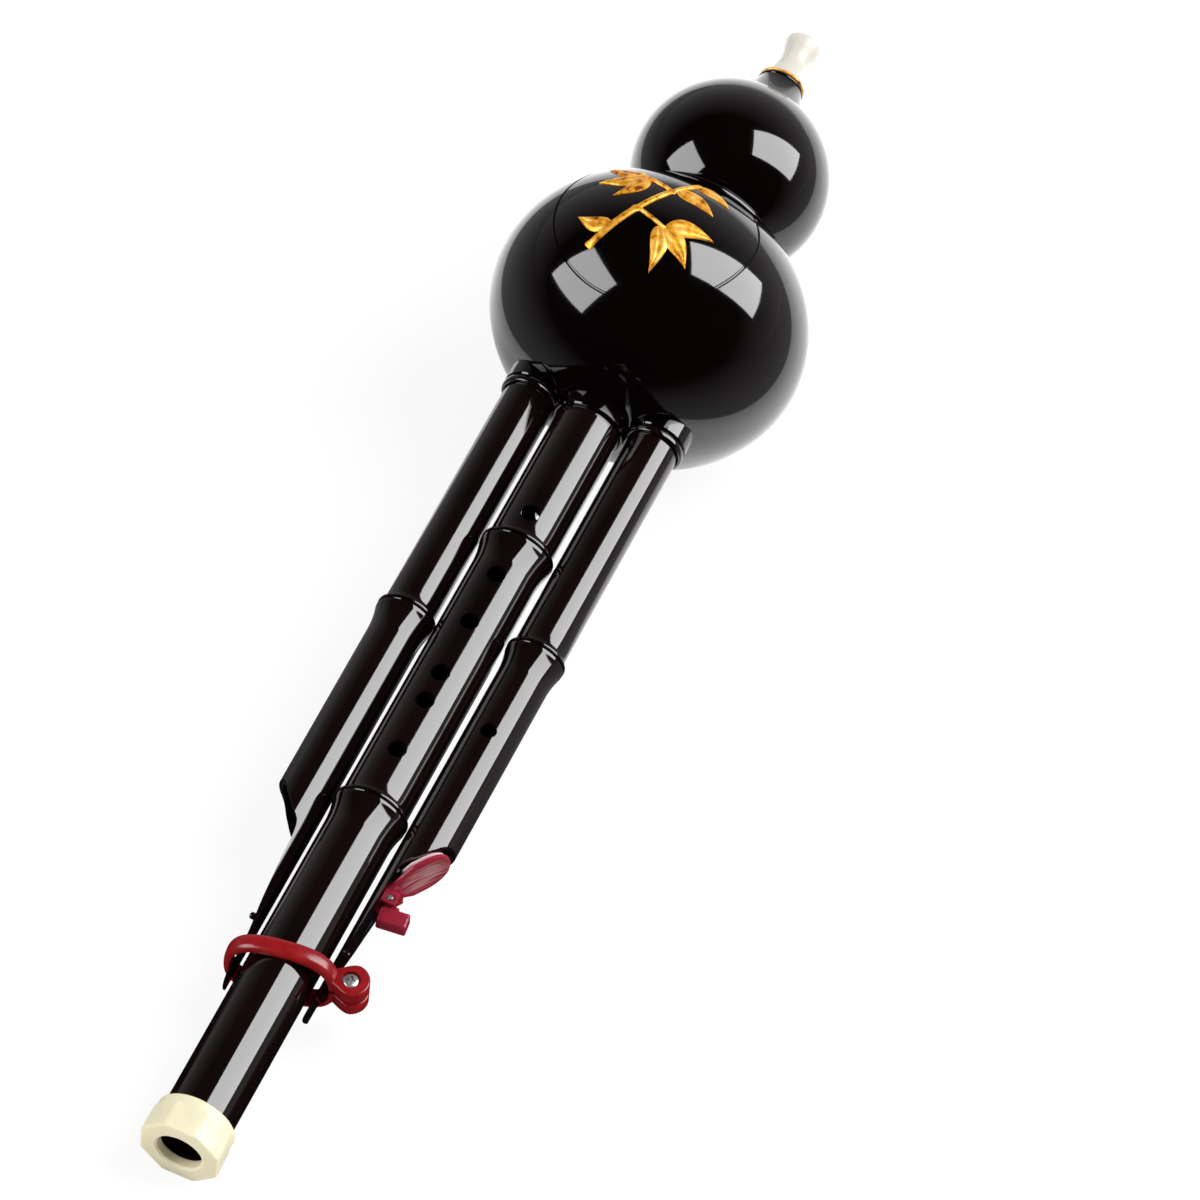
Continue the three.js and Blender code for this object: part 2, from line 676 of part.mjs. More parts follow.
function makeClamp() {
  const options = { depth: clampWidth, bevelEnabled: false, curveSegments: 2 * curveSteps };
  const outer = new THREE.ExtrudeGeometry(clampOutline(clampWall), options);
  const inner = new THREE.ExtrudeGeometry(clampOutline(0), { ...options, depth: clampWidth + 2 * overrun });
  const stand = (shape, back) => solid(moved(shape.rotateX(Math.PI / 2), 0, clampWidth / 2 + back, 0));
  let band = stand(outer, 0);
  band = band.add(clampEar(earMiddle + earGap / 2, frontEarFace));
  band = band.add(clampEar(backEarFace, earMiddle - earGap / 2));
  band = band.subtract(stand(inner, overrun));
  const slotWidth = screwOffset + earRadius;
  band = band.subtract(block(slotWidth, 2 * earRadius + overrun, earGap,
    tailEdge + slotWidth / 2 - clampWall, 0, earMiddle));
  const drill = frontRod(screwShankRadius + clearance, screwOffset, 0,
    backEarFace - overrun, frontEarFace + overrun);
  const recess = frontRod(screwHeadRadius + clearance, screwOffset, 0,
    frontEarFace - screwRecess, frontEarFace + overrun);
  return asFitted(band.subtract(drill).subtract(recess));
}

function makeScrew() {
  const seat = frontEarFace - screwRecess + clearance;
  const head = frontRod(screwHeadRadius, screwOffset, 0, seat, seat + screwHeadHeight);
  const shank = frontRod(screwShankRadius, screwOffset, 0,
    backEarFace - nutHeight - 2 * clearance, seat + screwHeadHeight / 3);
  const slot = screwHeadRadius * crossWidthShare;
  const long = screwHeadRadius * crossLengthShare;
  const deep = screwHeadHeight / 2;
  const level = seat + screwHeadHeight;
  const cross = block(slot, long, deep, screwOffset, 0, level)
    .add(block(long, slot, deep, screwOffset, 0, level));
  return asFitted(head.add(shank).subtract(cross));
}

function makeNut() {
  const top = backEarFace - clearance;
  const hex = frontRod(nutRadius, screwOffset, 0, top - nutHeight, top, 6);
  const hole = frontRod(screwShankRadius + clearance, screwOffset, 0,
    top - nutHeight - overrun, top + overrun);
  return asFitted(hex.subtract(hole));
}

// Key bracket: a foot bedded in the trough of the right tail, with a cheek on each side of the hub
function makeBracket() {
  const footTop = pivotOffset - hubRadius - clearance;
  const footBottom = droneSpacing - droneBoreRadius;
  const half = hubLength / 2 + clearance + cheekThickness;
  const reach = pivotOffset + cheekReach;
  const low = pivotStation - cheekBelow;
  const footHeight = cheekBelow + footAbove;
  const cheekHeight = cheekBelow + cheekAbove;
  const foot = block(footTop - footBottom, footHeight, 2 * half,
    (footTop + footBottom) / 2, low + footHeight / 2, 0);
  const cheeks = [-1, 1].map((side) => block(reach - footBottom, cheekHeight, cheekThickness,
    (reach + footBottom) / 2, low + cheekHeight / 2, side * (half - cheekThickness / 2)));
  const trough = rod(droneBoreRadius - clearance, pivotStation - cheekHeight, pivotStation + cheekHeight)
    .translate([droneSpacing, 0, 0]);
  return foot.add(cheeks[0]).add(cheeks[1]).intersect(trough).subtract(frontRod(pinRadius + clearance,
    pivotOffset, pivotStation, -half - overrun, half + overrun));
}

function makePin() {
  const half = hubLength / 2 + cheekThickness + 2 * clearance;
  return frontRod(pinRadius, pivotOffset, pivotStation, -half, half);
}

// A leaf outline from its narrow end, along X, with its width along Y
const stalkShare = 0.12;
const fullShare = 0.5;
const tipShare = 0.46;
const endShare = 0.38;
const bellyShares = [0.35, 0.55, 0.75];

function leafOutline(start, length, width) {
  const [rise, belly, shoulder] = bellyShares.map((share) => start + length * share);
  const end = start + length;
  const outline = new THREE.Shape();
  outline.moveTo(start, -width * stalkShare);
  outline.bezierCurveTo(rise, -width * fullShare, belly, -width * fullShare, shoulder, -width * tipShare);
  outline.bezierCurveTo(end, -width * endShare, end, width * endShare, shoulder, width * tipShare);
  outline.bezierCurveTo(belly, width * fullShare, rise, width * fullShare, start, width * stalkShare);
  outline.closePath();
  return outline;
}

// Lays an outline's plate along the leaf, at a height above the pivot's line
function alongLeaf(shape, height) {
  return solid(moved(
    shape.translate(0, 0, height).rotateX(-Math.PI / 2).rotateZ(leafAngle), pivotOffset, pivotStation, 0));
}

// Drone key: hub, finger touch and dished leaf in one moulding, pierced for the pin
function makeKey() {
  const options = { depth: leafThickness, bevelEnabled: false, curveSegments: curveSteps };
  const blade = new THREE.ExtrudeGeometry(leafOutline(0, leafLength, leafWidth), options);
  const base = leafLift - leafThickness / 2;
  const hollow = new THREE.ExtrudeGeometry(
    leafOutline(leafLength * hollowStartShare, leafLength * hollowLengthShare, leafWidth * hollowWidthShare),
    { ...options, depth: leafDish + overrun });
  const armLength = leafLength * armLengthShare;
  const armWidth = hubLength - 2 * clearance;
  const arm = moved(new THREE.BoxGeometry(armLength, armWidth, leafLift), armLength / 2, 0, 0);
  let key = alongLeaf(blade, base).add(alongLeaf(arm, leafLift / 2));
  key = key.subtract(alongLeaf(hollow, base - overrun));
  key = key.add(frontRod(hubRadius, pivotOffset, pivotStation, -hubLength / 2, hubLength / 2));
  key = key.add(block(webLength, touchDrop, touchDepth, pivotOffset - webInset + webLength / 2,
    pivotStation - touchDrop / 2, touchLift));
  const touch = block(touchLength, touchWidth, touchDepth, 0, 0, touchLift)
    .rotate([0, 0, THREE.MathUtils.radToDeg(touchAngle)])
    .translate([pivotOffset + touchOffset, pivotStation - touchDrop, 0]);
  return key.add(touch).subtract(frontRod(pinRadius + clearance / 2, pivotOffset, pivotStation,
    -hubLength, hubLength));
}

function makePad() {
  const start = leafLength * padStartShare;
  const width = 2 * (droneBoreRadius - 2 * clearance);
  const pad = new THREE.ExtrudeGeometry(leafOutline(start, leafLength - start - clearance, width),
    { depth: padThickness, bevelEnabled: false, curveSegments: curveSteps });
  return alongLeaf(pad, leafLift + leafThickness / 2 + clearance);
}

// Stud: a small domed pin that stands in a tail's trough
function makeStud() {
  const dome = studHeight * studDomeShare;
  return turned([[0, 0], [studRadius, 0], [studRadius, dome],
    [studRadius * studDomeShare, (dome + studHeight) / 2], [0, studHeight]], smallSides);
}

// Scene graph
const flute = new THREE.Group();
const pieces = new THREE.Group();
flute.add(pieces);

pieces.add(named('end_cap', makeEndCap(), creamPlastic()));
pieces.add(named('main_pipe', makeMainPipe(), blackGloss()));
pieces.add(named('lower_bulb', makeLowerBulb(), blackGloss()));
pieces.add(named('waist_ring', makeWaistRing(), blackGloss()));
pieces.add(named('upper_bulb', makeUpperBulb(), blackGloss()));
pieces.add(named('neck_ferrule', makeFerrule(), blackGloss()));
pieces.add(named('neck_rim', makeNeckRim(), gilding()));
pieces.add(named('mouthpiece', makeMouthpiece(), milkPlastic()));
pieces.add(named('gilded_sprig', makeSprig(), gilding()));
pieces.add(named('clamp', makeClamp(), redPlastic()));
pieces.add(named('clamp_screw', makeScrew(), steel()));
pieces.add(named('clamp_nut', makeNut(), steel()));

const mainHead = new THREE.Group();
mainHead.add(named('main_plug', makePlug(mainHeadRadius, mainBoreRadius), blackGloss()));
mainHead.add(named('main_reed', makeReed(mainHeadRadius), brass()));
pieces.add(mainHead);

for (const [label, side, nodeStation] of [['left', -1, leftNodeStation], ['right', 1, rightNodeStation]]) {
  const drone = new THREE.Group();
  drone.position.set(side * droneSpacing, 0, -droneDepth);
  drone.add(named(`${label}_drone`, makeDrone(side, nodeStation), blackGloss()));
  drone.add(named(`${label}_ring`, makeDroneRing(side), blackGloss()));
  drone.add(named(`${label}_plug`, makePlug(droneRadius, droneBoreRadius), blackGloss()));
  drone.add(named(`${label}_reed`, makeReed(droneRadius), brass()));
  const stud = named(`${label}_stud`, makeStud(), blackGloss());
  const trough = Math.sqrt(droneBoreRadius ** 2 - (studLift + studRadius) ** 2);
  stud.position.set(-side * (trough - clearance), studStation, studLift);
  stud.rotation.z = -side * Math.PI / 2;
  drone.add(stud);
  pieces.add(drone);
}

const keyWork = new THREE.Group();
keyWork.position.z = -droneDepth;
keyWork.add(named('key_bracket', makeBracket(), crimsonPlastic()));
keyWork.add(named('drone_key', makeKey(), crimsonPlastic()));
keyWork.add(named('key_pad', makePad(), milkPlastic()));
keyWork.add(named('key_pin', makePin(), steel()));
pieces.add(keyWork);

// The flute lies on its back, on the lower bulb and the end cap: the tilt that makes both touch
function lowestPoint(mesh, tilt) {
  const points = mesh.geometry.getAttribute('position');
  let lowest = Infinity;
  for (let i = 0; i < points.count; i += 1) {
    lowest = Math.min(lowest, points.getY(i) * Math.sin(tilt) + points.getZ(i) * Math.cos(tilt));
  }
  return lowest;
}

function restingTilt(front, back) {
  let low = 0;
  let high = Math.PI / 8;
  for (let i = 0; i < 40; i += 1) {
    const tilt = (low + high) / 2;
    if (lowestPoint(front, tilt) > lowestPoint(back, tilt)) low = tilt;
    else high = tilt;
  }
  return (low + high) / 2;
}

const cap = pieces.getObjectByName('end_cap');
const bulb = pieces.getObjectByName('lower_bulb');
pieces.rotation.x = restingTilt(cap, bulb);
pieces.updateMatrixWorld(true);
const bounds = new THREE.Box3().setFromObject(pieces, true);
const middle = bounds.getCenter(new THREE.Vector3());
pieces.position.set(-middle.x, -middle.y, -bounds.min.z);

export default flute;
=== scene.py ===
import json
import math

import bmesh
import bpy
from mathutils import Matrix, Vector


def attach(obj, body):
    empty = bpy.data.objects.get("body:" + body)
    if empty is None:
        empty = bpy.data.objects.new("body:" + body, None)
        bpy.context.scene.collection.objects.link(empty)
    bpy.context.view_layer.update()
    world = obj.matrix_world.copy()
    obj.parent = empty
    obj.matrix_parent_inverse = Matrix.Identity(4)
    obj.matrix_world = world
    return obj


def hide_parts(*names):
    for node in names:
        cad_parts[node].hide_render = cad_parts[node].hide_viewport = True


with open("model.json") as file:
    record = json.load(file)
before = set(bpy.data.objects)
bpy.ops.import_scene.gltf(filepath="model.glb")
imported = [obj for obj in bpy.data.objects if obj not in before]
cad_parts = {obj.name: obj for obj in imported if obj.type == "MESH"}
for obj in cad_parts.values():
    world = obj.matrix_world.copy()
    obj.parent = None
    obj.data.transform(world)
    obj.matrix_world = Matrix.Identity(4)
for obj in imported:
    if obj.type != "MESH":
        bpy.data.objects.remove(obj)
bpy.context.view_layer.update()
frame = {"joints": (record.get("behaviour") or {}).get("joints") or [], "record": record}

# The flute's own axes: it lies on its back, so its length climbs a little towards the mouthpiece.
# Shapes are written in millimetres across (x), along from the end cap's face (y) and to the front (z).
along = Vector(next(j["axis"] for j in frame["joints"] if j["name"] == "mouthpiece_pull")).normalized()
cap_face = Vector(next(m["pos_m"] for m in frame["record"]["mounts"] if m["name"] == "end_face"))
cap_middle = Vector((0, cap_face.y, cap_face.z))
across = Vector((1, 0, 0))
front = across.cross(along)
MM = 0.001
flute_turn = Matrix((across, along, front)).transposed()
seat = Matrix.Translation(cap_middle) @ flute_turn.to_4x4() @ Matrix.Scale(MM, 4)


# The camera stands off the end cap's side of the flute, a little to the key's side, with a long lens.
# Its place and turn are those of the photograph, in the flute's own axes.
camera_place = Vector((539.9, -1275.8, 2261.2))
camera_turn = Vector((2.474, 0.556, -0.088))
camera_focal_pixels = 10000
photo_pixels = 1200

camera_data = bpy.data.cameras.new("camera")
camera = bpy.data.objects.new("camera", camera_data)
bpy.context.scene.collection.objects.link(camera)
bpy.context.scene.camera = camera
camera_data.sensor_width = 36
camera_data.lens = camera_data.sensor_width * camera_focal_pixels / photo_pixels
camera_data.clip_start = 0.05
camera_data.clip_end = 50
right, down, ahead = Matrix.Rotation(camera_turn.length, 3, camera_turn.normalized())
camera_axes = Matrix((flute_turn @ right, flute_turn @ -down, flute_turn @ -ahead)).transposed()
camera.matrix_world = Matrix.Translation(seat @ camera_place) @ camera_axes.to_4x4()


# Studio: a pale sweep, plain white to the camera, with a soft shadow. A large soft box stands to the
# right and a smaller one to the left, as the bulbs reflect them; the rest of the room is dark.
def linear(code):
    channels = [int(code[i:i + 2], 16) / 255 for i in (1, 3, 5)]
    return [c / 12.92 if c <= 0.04045 else ((c + 0.055) / 1.055) ** 2.4 for c in channels] + [1]


def add_node(tree, kind, inputs=None, **settings):
    made = tree.nodes.new(kind)
    for name, value in settings.items():
        setattr(made, name, value)
    for name, value in (inputs or {}).items():
        if isinstance(value, bpy.types.NodeSocket):
            tree.links.new(value, made.inputs[name])
        else:
            made.inputs[name].default_value = value
    return made


def new_finish(name):
    finish = bpy.data.materials.new(name)
    finish.use_nodes = True
    finish.node_tree.nodes.clear()
    return finish, finish.node_tree


floor_reach = 6.0
white_share = 0.86
# What glossy surfaces see, from the dark room above to the lit sweep behind and below, which begins
# with an edge: how far a direction leans back and down, and the grey there
room_greys = ((-0.45, "#121213"), (0.85, "#aeabac"), (0.8502, "#e2e1e2"), (1.0, "#ffffff"))
# The floor's greys are painted light: the room's dark and lit directions painted on the floor for glossy rays,
# white near its middle
floor_painted_light_greys = ((-0.45, "#0a0a0a"), (0.85, "#7c7a7b"), (0.8502, "#d7d7d7"), (1.0, "#ffffff"))
lean = (0, 0.9, -1.0)


def seen_grey(tree, place, offset, greys):
    """The grey that a glossy ray meets in the direction of a place, seen from a point above the floor."""
    way = add_node(tree, "ShaderNodeVectorMath", {0: place, 1: offset}, operation="ADD")
    unit = add_node(tree, "ShaderNodeVectorMath", {0: way.outputs[0]}, operation="NORMALIZE")
    leaning = add_node(tree, "ShaderNodeVectorMath", {0: unit.outputs[0], 1: lean}, operation="DOT_PRODUCT")
    spread = add_node(tree, "ShaderNodeMapRange", {
        "Value": leaning.outputs["Value"], "From Min": -1.0, "From Max": 1.0})
    ramp = add_node(tree, "ShaderNodeValToRGB", {"Fac": spread.outputs[0]})
    stops = ramp.color_ramp.elements
    for _ in greys[2:]:
        stops.new(1.0)
    for stop, (reach, grey) in zip(stops, greys):
        stop.position = (reach + 1) / 2
        stop.color = linear(grey)
    return ramp.outputs["Color"]


floor_finish, tree = new_finish("white_sweep_paper")
seen = add_node(tree, "ShaderNodeLightPath")
spot = add_node(tree, "ShaderNodeTexCoord")
# Painted light: glossy rays see a painted pattern of light and dark on the floor instead of its lit white
painted_floor_light = seen_grey(tree, spot.outputs["Object"], (0, 0, -0.045), floor_painted_light_greys)
shade = add_node(tree, "ShaderNodeMix", {"Factor": seen.outputs["Is Glossy Ray"], 7: painted_floor_light}, data_type="RGBA")
shade.inputs[6].default_value = linear("#f4f4f4")
paper = add_node(tree, "ShaderNodeBsdfDiffuse", {"Color": shade.outputs[2]})
glow = add_node(tree, "ShaderNodeEmission", {"Color": linear("#ffffff"), "Strength": 1.0})
share = add_node(tree, "ShaderNodeMath", {0: seen.outputs["Is Camera Ray"], 1: white_share},
                 operation="MULTIPLY")
mixed = add_node(tree, "ShaderNodeMixShader", {0: share.outputs[0], 1: paper.outputs[0], 2: glow.outputs[0]})
add_node(tree, "ShaderNodeOutputMaterial", {"Surface": mixed.outputs[0]})

floor_mesh = bpy.data.meshes.new("floor")
half = floor_reach / 2
floor_corners = [(-half, -half, 0), (half, -half, 0), (half, half, 0), (-half, half, 0)]
floor_mesh.from_pydata(floor_corners, [], [(0, 1, 2, 3)])
floor_mesh.materials.append(floor_finish)
floor = bpy.data.objects.new("floor", floor_mesh)
bpy.context.scene.collection.objects.link(floor)
floor.location.z = -0.0002

world = bpy.data.worlds.new("studio")
bpy.context.scene.world = world
world.use_nodes = True
tree = world.node_tree
tree.nodes.clear()
path = add_node(tree, "ShaderNodeLightPath")
way = add_node(tree, "ShaderNodeTexCoord")
mirrored = seen_grey(tree, way.outputs["Object"], (0, 0, 0), room_greys)
room = add_node(tree, "ShaderNodeMix", {"Factor": path.outputs["Is Glossy Ray"], 7: mirrored}, data_type="RGBA")
room.inputs[6].default_value = linear("#9c9c9e")
backdrop = add_node(tree, "ShaderNodeMix", {"Factor": path.outputs["Is Camera Ray"], 6: room.outputs[2]},
                    data_type="RGBA")
backdrop.inputs[7].default_value = linear("#ffffff")
sky = add_node(tree, "ShaderNodeBackground", {"Color": backdrop.outputs[2], "Strength": 1.0})
add_node(tree, "ShaderNodeOutputWorld", {"Surface": sky.outputs[0]})

# Each soft box: direction from the gourd in the camera's right, up and towards axes, then its distance
# and size in metres and its power
soft_boxes = {
    "right_soft_box": ((0.79, 0.4, 0.465), 4.0, (2.45, 4.1), 270),
    "left_soft_box": ((-0.795, 0.194, 0.568), 3.6, (2.35, 2.3), 105),
}
gourd_middle = seat @ Vector((0, 330, 0))
for name, (toward, distance, size, power) in soft_boxes.items():
    light = bpy.data.lights.new(name, "AREA")
    light.shape = "RECTANGLE"
    light.size, light.size_y = size
    light.energy = power
    lamp = bpy.data.objects.new(name, light)
    bpy.context.scene.collection.objects.link(lamp)
    direction = (camera_axes @ Vector(toward)).normalized()
    lamp.location = gourd_middle + direction * distance
    lamp.rotation_mode = "QUATERNION"
    lamp.rotation_quaternion = direction.to_track_quat("Z", "Y")

bpy.context.scene.view_settings.view_transform = "Standard"


# Pipes and gourd: injection-moulded ABS under black-brown lacquer. Its gloss is mirror-like, with the
# faint waves of a sprayed coat a few millimetres apart, and a trace of red-brown in the black.
def grainy_tone(tree, scale, detail, dark, light):
    """A fine noise over a piece, and a colour that goes from dark to light with it."""
    place = add_node(tree, "ShaderNodeTexCoord")
    grain = add_node(tree, "ShaderNodeTexNoise", {
        "Vector": place.outputs["Object"], "Scale": scale, "Detail": detail})
    tone = add_node(tree, "ShaderNodeMix", {"Factor": grain.outputs["Fac"]}, data_type="RGBA")
    tone.inputs[6].default_value = linear(dark)
    tone.inputs[7].default_value = linear(light)
    return grain, tone


def lacquer_finish(name, dark, light):
    """Glossy lacquer with a tint that drifts between two colours."""
    finish, tree = new_finish(name)
    tint = grainy_tone(tree, 30, 3, dark, light)[1]
    place = add_node(tree, "ShaderNodeTexCoord")
    coat_wave = add_node(tree, "ShaderNodeTexNoise", {
        "Vector": place.outputs["Object"], "Scale": 140, "Detail": 2})
    sheen = add_node(tree, "ShaderNodeMapRange", {
        "Value": coat_wave.outputs["Fac"], "To Min": 0.045, "To Max": 0.085})
    relief = add_node(tree, "ShaderNodeBump", {
        "Height": coat_wave.outputs["Fac"], "Strength": 0.35, "Distance": 0.00003})
    shell = add_node(tree, "ShaderNodeBsdfPrincipled", {
        "Base Color": tint.outputs[2], "Roughness": sheen.outputs[0], "IOR": 1.5, "Normal": relief.outputs[0],
        "Coat Weight": 0.4, "Coat Roughness": 0.03})
    add_node(tree, "ShaderNodeOutputMaterial", {"Surface": shell.outputs[0]})
    return finish


pipe_lacquer = lacquer_finish("black_brown_lacquer", "#060303", "#130908")
gourd_lacquer = lacquer_finish("black_lacquer", "#020101", "#070303")


# Main pipe: a bored tube with two bamboo nodes, six finger holes in front, a thumb hole and two vents
# behind, and a flat near its head for the reed. It tapers a little towards the gourd.
def new_piece(name, shape, matrix=Matrix.Identity(4)):
    """Makes an object of a closed shape in the flute's own axes, with its faces outward."""
    bmesh.ops.recalc_face_normals(shape, faces=shape.faces)
    if shape.calc_volume(signed=True) < 0:
        bmesh.ops.reverse_faces(shape, faces=shape.faces)
    shape.transform(seat @ matrix)
    mesh = bpy.data.meshes.new(name)
    shape.to_mesh(mesh)
    shape.free()
    piece = bpy.data.objects.new(name, mesh)
    bpy.context.scene.collection.objects.link(piece)
    return piece


def arc(start, end, steps):
    """Angles in equal steps, both ends kept, from a start and an end given in half turns."""
    return [math.pi * (start + (end - start) * i / steps) for i in range(steps + 1)]


def turn_mesh(name, profile, sides, centre=(0, 0), closed=True):
    """Revolves [radius, station] points about a line along the flute, through x and z in centre."""
    shape = bmesh.new()
    rings = []
    for radius, station in profile:
        if radius < 1e-6:
            rings.append([shape.verts.new((centre[0], station, centre[1]))])
            continue
        circle = [(centre[0] + radius * math.sin(t), station, centre[1] + radius * math.cos(t))
                  for t in arc(0, 2, sides)[:-1]]
        rings.append([shape.verts.new(point) for point in circle])
    for low, high in zip(rings, rings[1:] + (rings[:1] if closed else [])):
        for i in range(sides):
            j = (i + 1) % sides
            corners = [low[i % len(low)], low[j % len(low)], high[j % len(high)], high[i % len(high)]]
            corners = list(dict.fromkeys(corners))
            if len(corners) > 2:
                shape.faces.new(corners)
    return new_piece(name, shape)


def combine(piece, tools, operation):
    """Cuts or joins the tools with a piece and removes them."""
    for tool in tools:
        step = piece.modifiers.new("step", "BOOLEAN")
        step.operation = operation
        step.solver = "EXACT"
        step.object = tool
        settle(piece)
    for tool in tools:
        bpy.data.objects.remove(tool)


def settle(piece):
    """Makes a piece's modifiers part of its mesh."""
    bpy.context.view_layer.update()
    evaluated = piece.evaluated_get(bpy.context.evaluated_depsgraph_get())
    mesh = bpy.data.meshes.new_from_object(evaluated)
    piece.modifiers.clear()
    piece.data = mesh


def dress(piece, finish, slot, body, *nodes, angle=32):
    """Gives a finished piece its smooth shading, material and body, and hides the parts that it stands for."""
    piece.data.materials.clear()
    piece.data.materials.append(finish)
    piece.data.shade_smooth()
    piece.data.set_sharp_from_angle(angle=math.radians(angle))
    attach(piece, body)
    if nodes:
        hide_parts(*nodes)
    return piece


def new_tree(name, *sizes):
    """An empty node tree for meshes: a mesh goes in and out, with a named input for each size."""
    tree = bpy.data.node_groups.new(name, "GeometryNodeTree")
    tree.interface.new_socket("Mesh", in_out="INPUT", socket_type="NodeSocketGeometry")
    for size in sizes:
        tree.interface.new_socket(size, in_out="INPUT", socket_type="NodeSocketFloat")
    tree.interface.new_socket("Mesh", in_out="OUTPUT", socket_type="NodeSocketGeometry")
    return tree, add_node(tree, "NodeGroupInput").outputs


def end_tree(tree, grown, finish):
    """The tree's last nodes: copies made real, faces given a finish, and the way out."""
    real = add_node(tree, "GeometryNodeRealizeInstances", {"Geometry": grown})
    coated = add_node(tree, "GeometryNodeSetMaterial", {
        "Geometry": real.outputs["Geometry"], "Material": finish})
    add_node(tree, "NodeGroupOutput", {"Mesh": coated.outputs["Geometry"]})


def grow(tree, points, **sizes):
    """The mesh that a tree grows from points in the flute's own axes, as a piece."""
    seed = bpy.data.meshes.new("seed")
    seed.from_pydata(points, [], [])
    holder = bpy.data.objects.new("seed", seed)
    bpy.context.scene.collection.objects.link(holder)
    nodes = holder.modifiers.new("grow", "NODES")
    nodes.node_group = tree
    for socket in tree.interface.items_tree:
        if socket.in_out == "INPUT" and socket.name in sizes:
            nodes[socket.identifier] = float(sizes[socket.name])
    settle(holder)
    shape = bmesh.new()
    shape.from_mesh(holder.data)
    bpy.data.objects.remove(holder)
    return new_piece("grown", shape)


rod_tree, rod_inputs = new_tree("rods_through_points", "Radius", "Length")
rod = add_node(rod_tree, "GeometryNodeMeshCylinder", {
    "Vertices": 64, "Radius": rod_inputs["Radius"], "Depth": rod_inputs["Length"]})
rods = add_node(rod_tree, "GeometryNodeInstanceOnPoints", {
    "Points": rod_inputs["Mesh"], "Instance": rod.outputs["Mesh"]})
end_tree(rod_tree, rods.outputs["Instances"], pipe_lacquer)


def hole_rods(radius, stations, low, high, x=0):
    """One cutter for a row of round holes along a pipe, from the front to the back."""
    middles = [(x, station, (low + high) / 2) for station in stations]
    return grow(rod_tree, middles, Radius=radius, Length=high - low)


def front_rod(name, radius, x, station, low, high, sides=64):
    """A cutter that runs front to back."""
    shape = bmesh.new()
    bmesh.ops.create_cone(shape, cap_ends=True, segments=sides, radius1=radius, radius2=radius,
                          depth=high - low)
    return new_piece(name, shape, Matrix.Translation((x, station, (low + high) / 2)))


def box_piece(name, low, high):
    """A plain block between two corners, for cutters and for parts that are bevelled afterwards."""
    shape = bmesh.new()
    bmesh.ops.create_cube(shape, size=1)
    low, high = Vector(low), Vector(high)
    return new_piece(name, shape, Matrix.Translation((low + high) / 2) @ Matrix.Diagonal((*(high - low), 1)))


node_proud = 1.25
node_swell = 9.0
groove_low = 1.15
plain_again = 3.2
head_station = 302.0
# The groove and the ring: share of the node's height, and millimetres along the pipe
ring_line = ((0.72, -0.98), (0.42, -0.82), (0.34, -0.62), (0.42, -0.42), (0.8, -0.3), (0.97, -0.12),
             (1.0, 0.1), (0.97, 0.36), (0.8, 0.6), (0.4, 0.78), (0.18, 1.0), (0.08, 1.5), (0.02, 2.2))


def bamboo_profile(start, end, radius_at, nodes, step=2.0):
    """A pipe's outer line: a long swelling, a groove and a thin sharp ring at each node."""
    points = []
    station = start
    marks = [(node - groove_low - node_swell, node + plain_again) for node in nodes]
    while station < end:
        if not any(low < station < high for low, high in marks):
            points.append((radius_at(station), station))
        station += step
    for node in nodes:
        radius = radius_at(node)
        top = node - groove_low
        for i in range(21):
            share = i / 20
            rise = share ** 2.2 if share < 0.9 else 0.793 + 0.127 * math.sin((share - 0.9) * 5 * math.pi)
            points.append((radius + node_proud * rise, top - node_swell * (1 - share)))
        points += [(radius + node_proud * out, node + up) for out, up in ring_line]
    points.append((radius_at(end), end))
    return sorted(points, key=lambda point: point[1])


main_foot = 9.85
main_head = 9.6
main_bore = 6.6
main_start = 3.3
main_nodes = (120.8, 216.5)
finger_holes = (136.8, 154.8, 164.9, 183.9, 201.5, 224.4)
finger_hole_radius = 2.7
thumb_hole = 236.0
vents = (40.0, 52.0)
vent_radius = 2.2


def main_radius(station):
    share = (station - main_start) / (head_station - main_start)
    return main_foot + (main_head - main_foot) * share


outer = bamboo_profile(main_start, head_station, main_radius, main_nodes)
main_pipe = turn_mesh("main_pipe_tube", [(main_bore, main_start), *outer, (main_bore, head_station)], 144)
combine(main_pipe, [hole_rods(finger_hole_radius, finger_holes, 0, 14),
                    hole_rods(finger_hole_radius, [thumb_hole], -14, 0),
                    hole_rods(vent_radius, vents, -14, 0)], "DIFFERENCE")
reed_length = 17.0
reed_low = head_station - 3.0 - reed_length
tongue_root = reed_low + 2.5
tongue_length = 12
slit_half = 1.6


def reed_cutters(x, z, radius, bore):
    """What the reed's seat takes from a pipe: a flat, and a slit into the bore."""
    seat_height = z + max(radius - 1.5, bore + 0.15)
    flat = box_piece("cut", (x - 12, reed_low - 0.3, seat_height),
                     (x + 12, reed_low + reed_length + 0.3, seat_height + 8))
    slit = box_piece("cut", (x - slit_half, tongue_root, z + 0.4),
                     (x + slit_half, tongue_root + tongue_length, seat_height + 1))
    return [flat, slit]


combine(main_pipe, reed_cutters(0, 0, main_head, main_bore), "DIFFERENCE")
dress(main_pipe, pipe_lacquer, "black_pipes", "flute", "main_pipe")


# Drone pipes: thinner tubes beside the main pipe. The lower end of each is cut like a quill to an open
# scoop, and what is left of its inner wall runs on as a tail to the clamp. The right one has a hole.
drone_radius = 7.55
drone_bore = 6.05
drone_spacing = 18.9
drone_depth = -1.2
drone_nodes = {-1: 184.6, 1: 187.5}
drone_hole = 155.5
drone_hole_radius = 2.35
tail_tip = 53.0
tail_share = 0.85
tail_edge = drone_spacing - drone_radius * tail_share
tail_half = drone_radius * math.sqrt(1 - tail_share ** 2)
quill_top = 119.6
quill_aside = 16
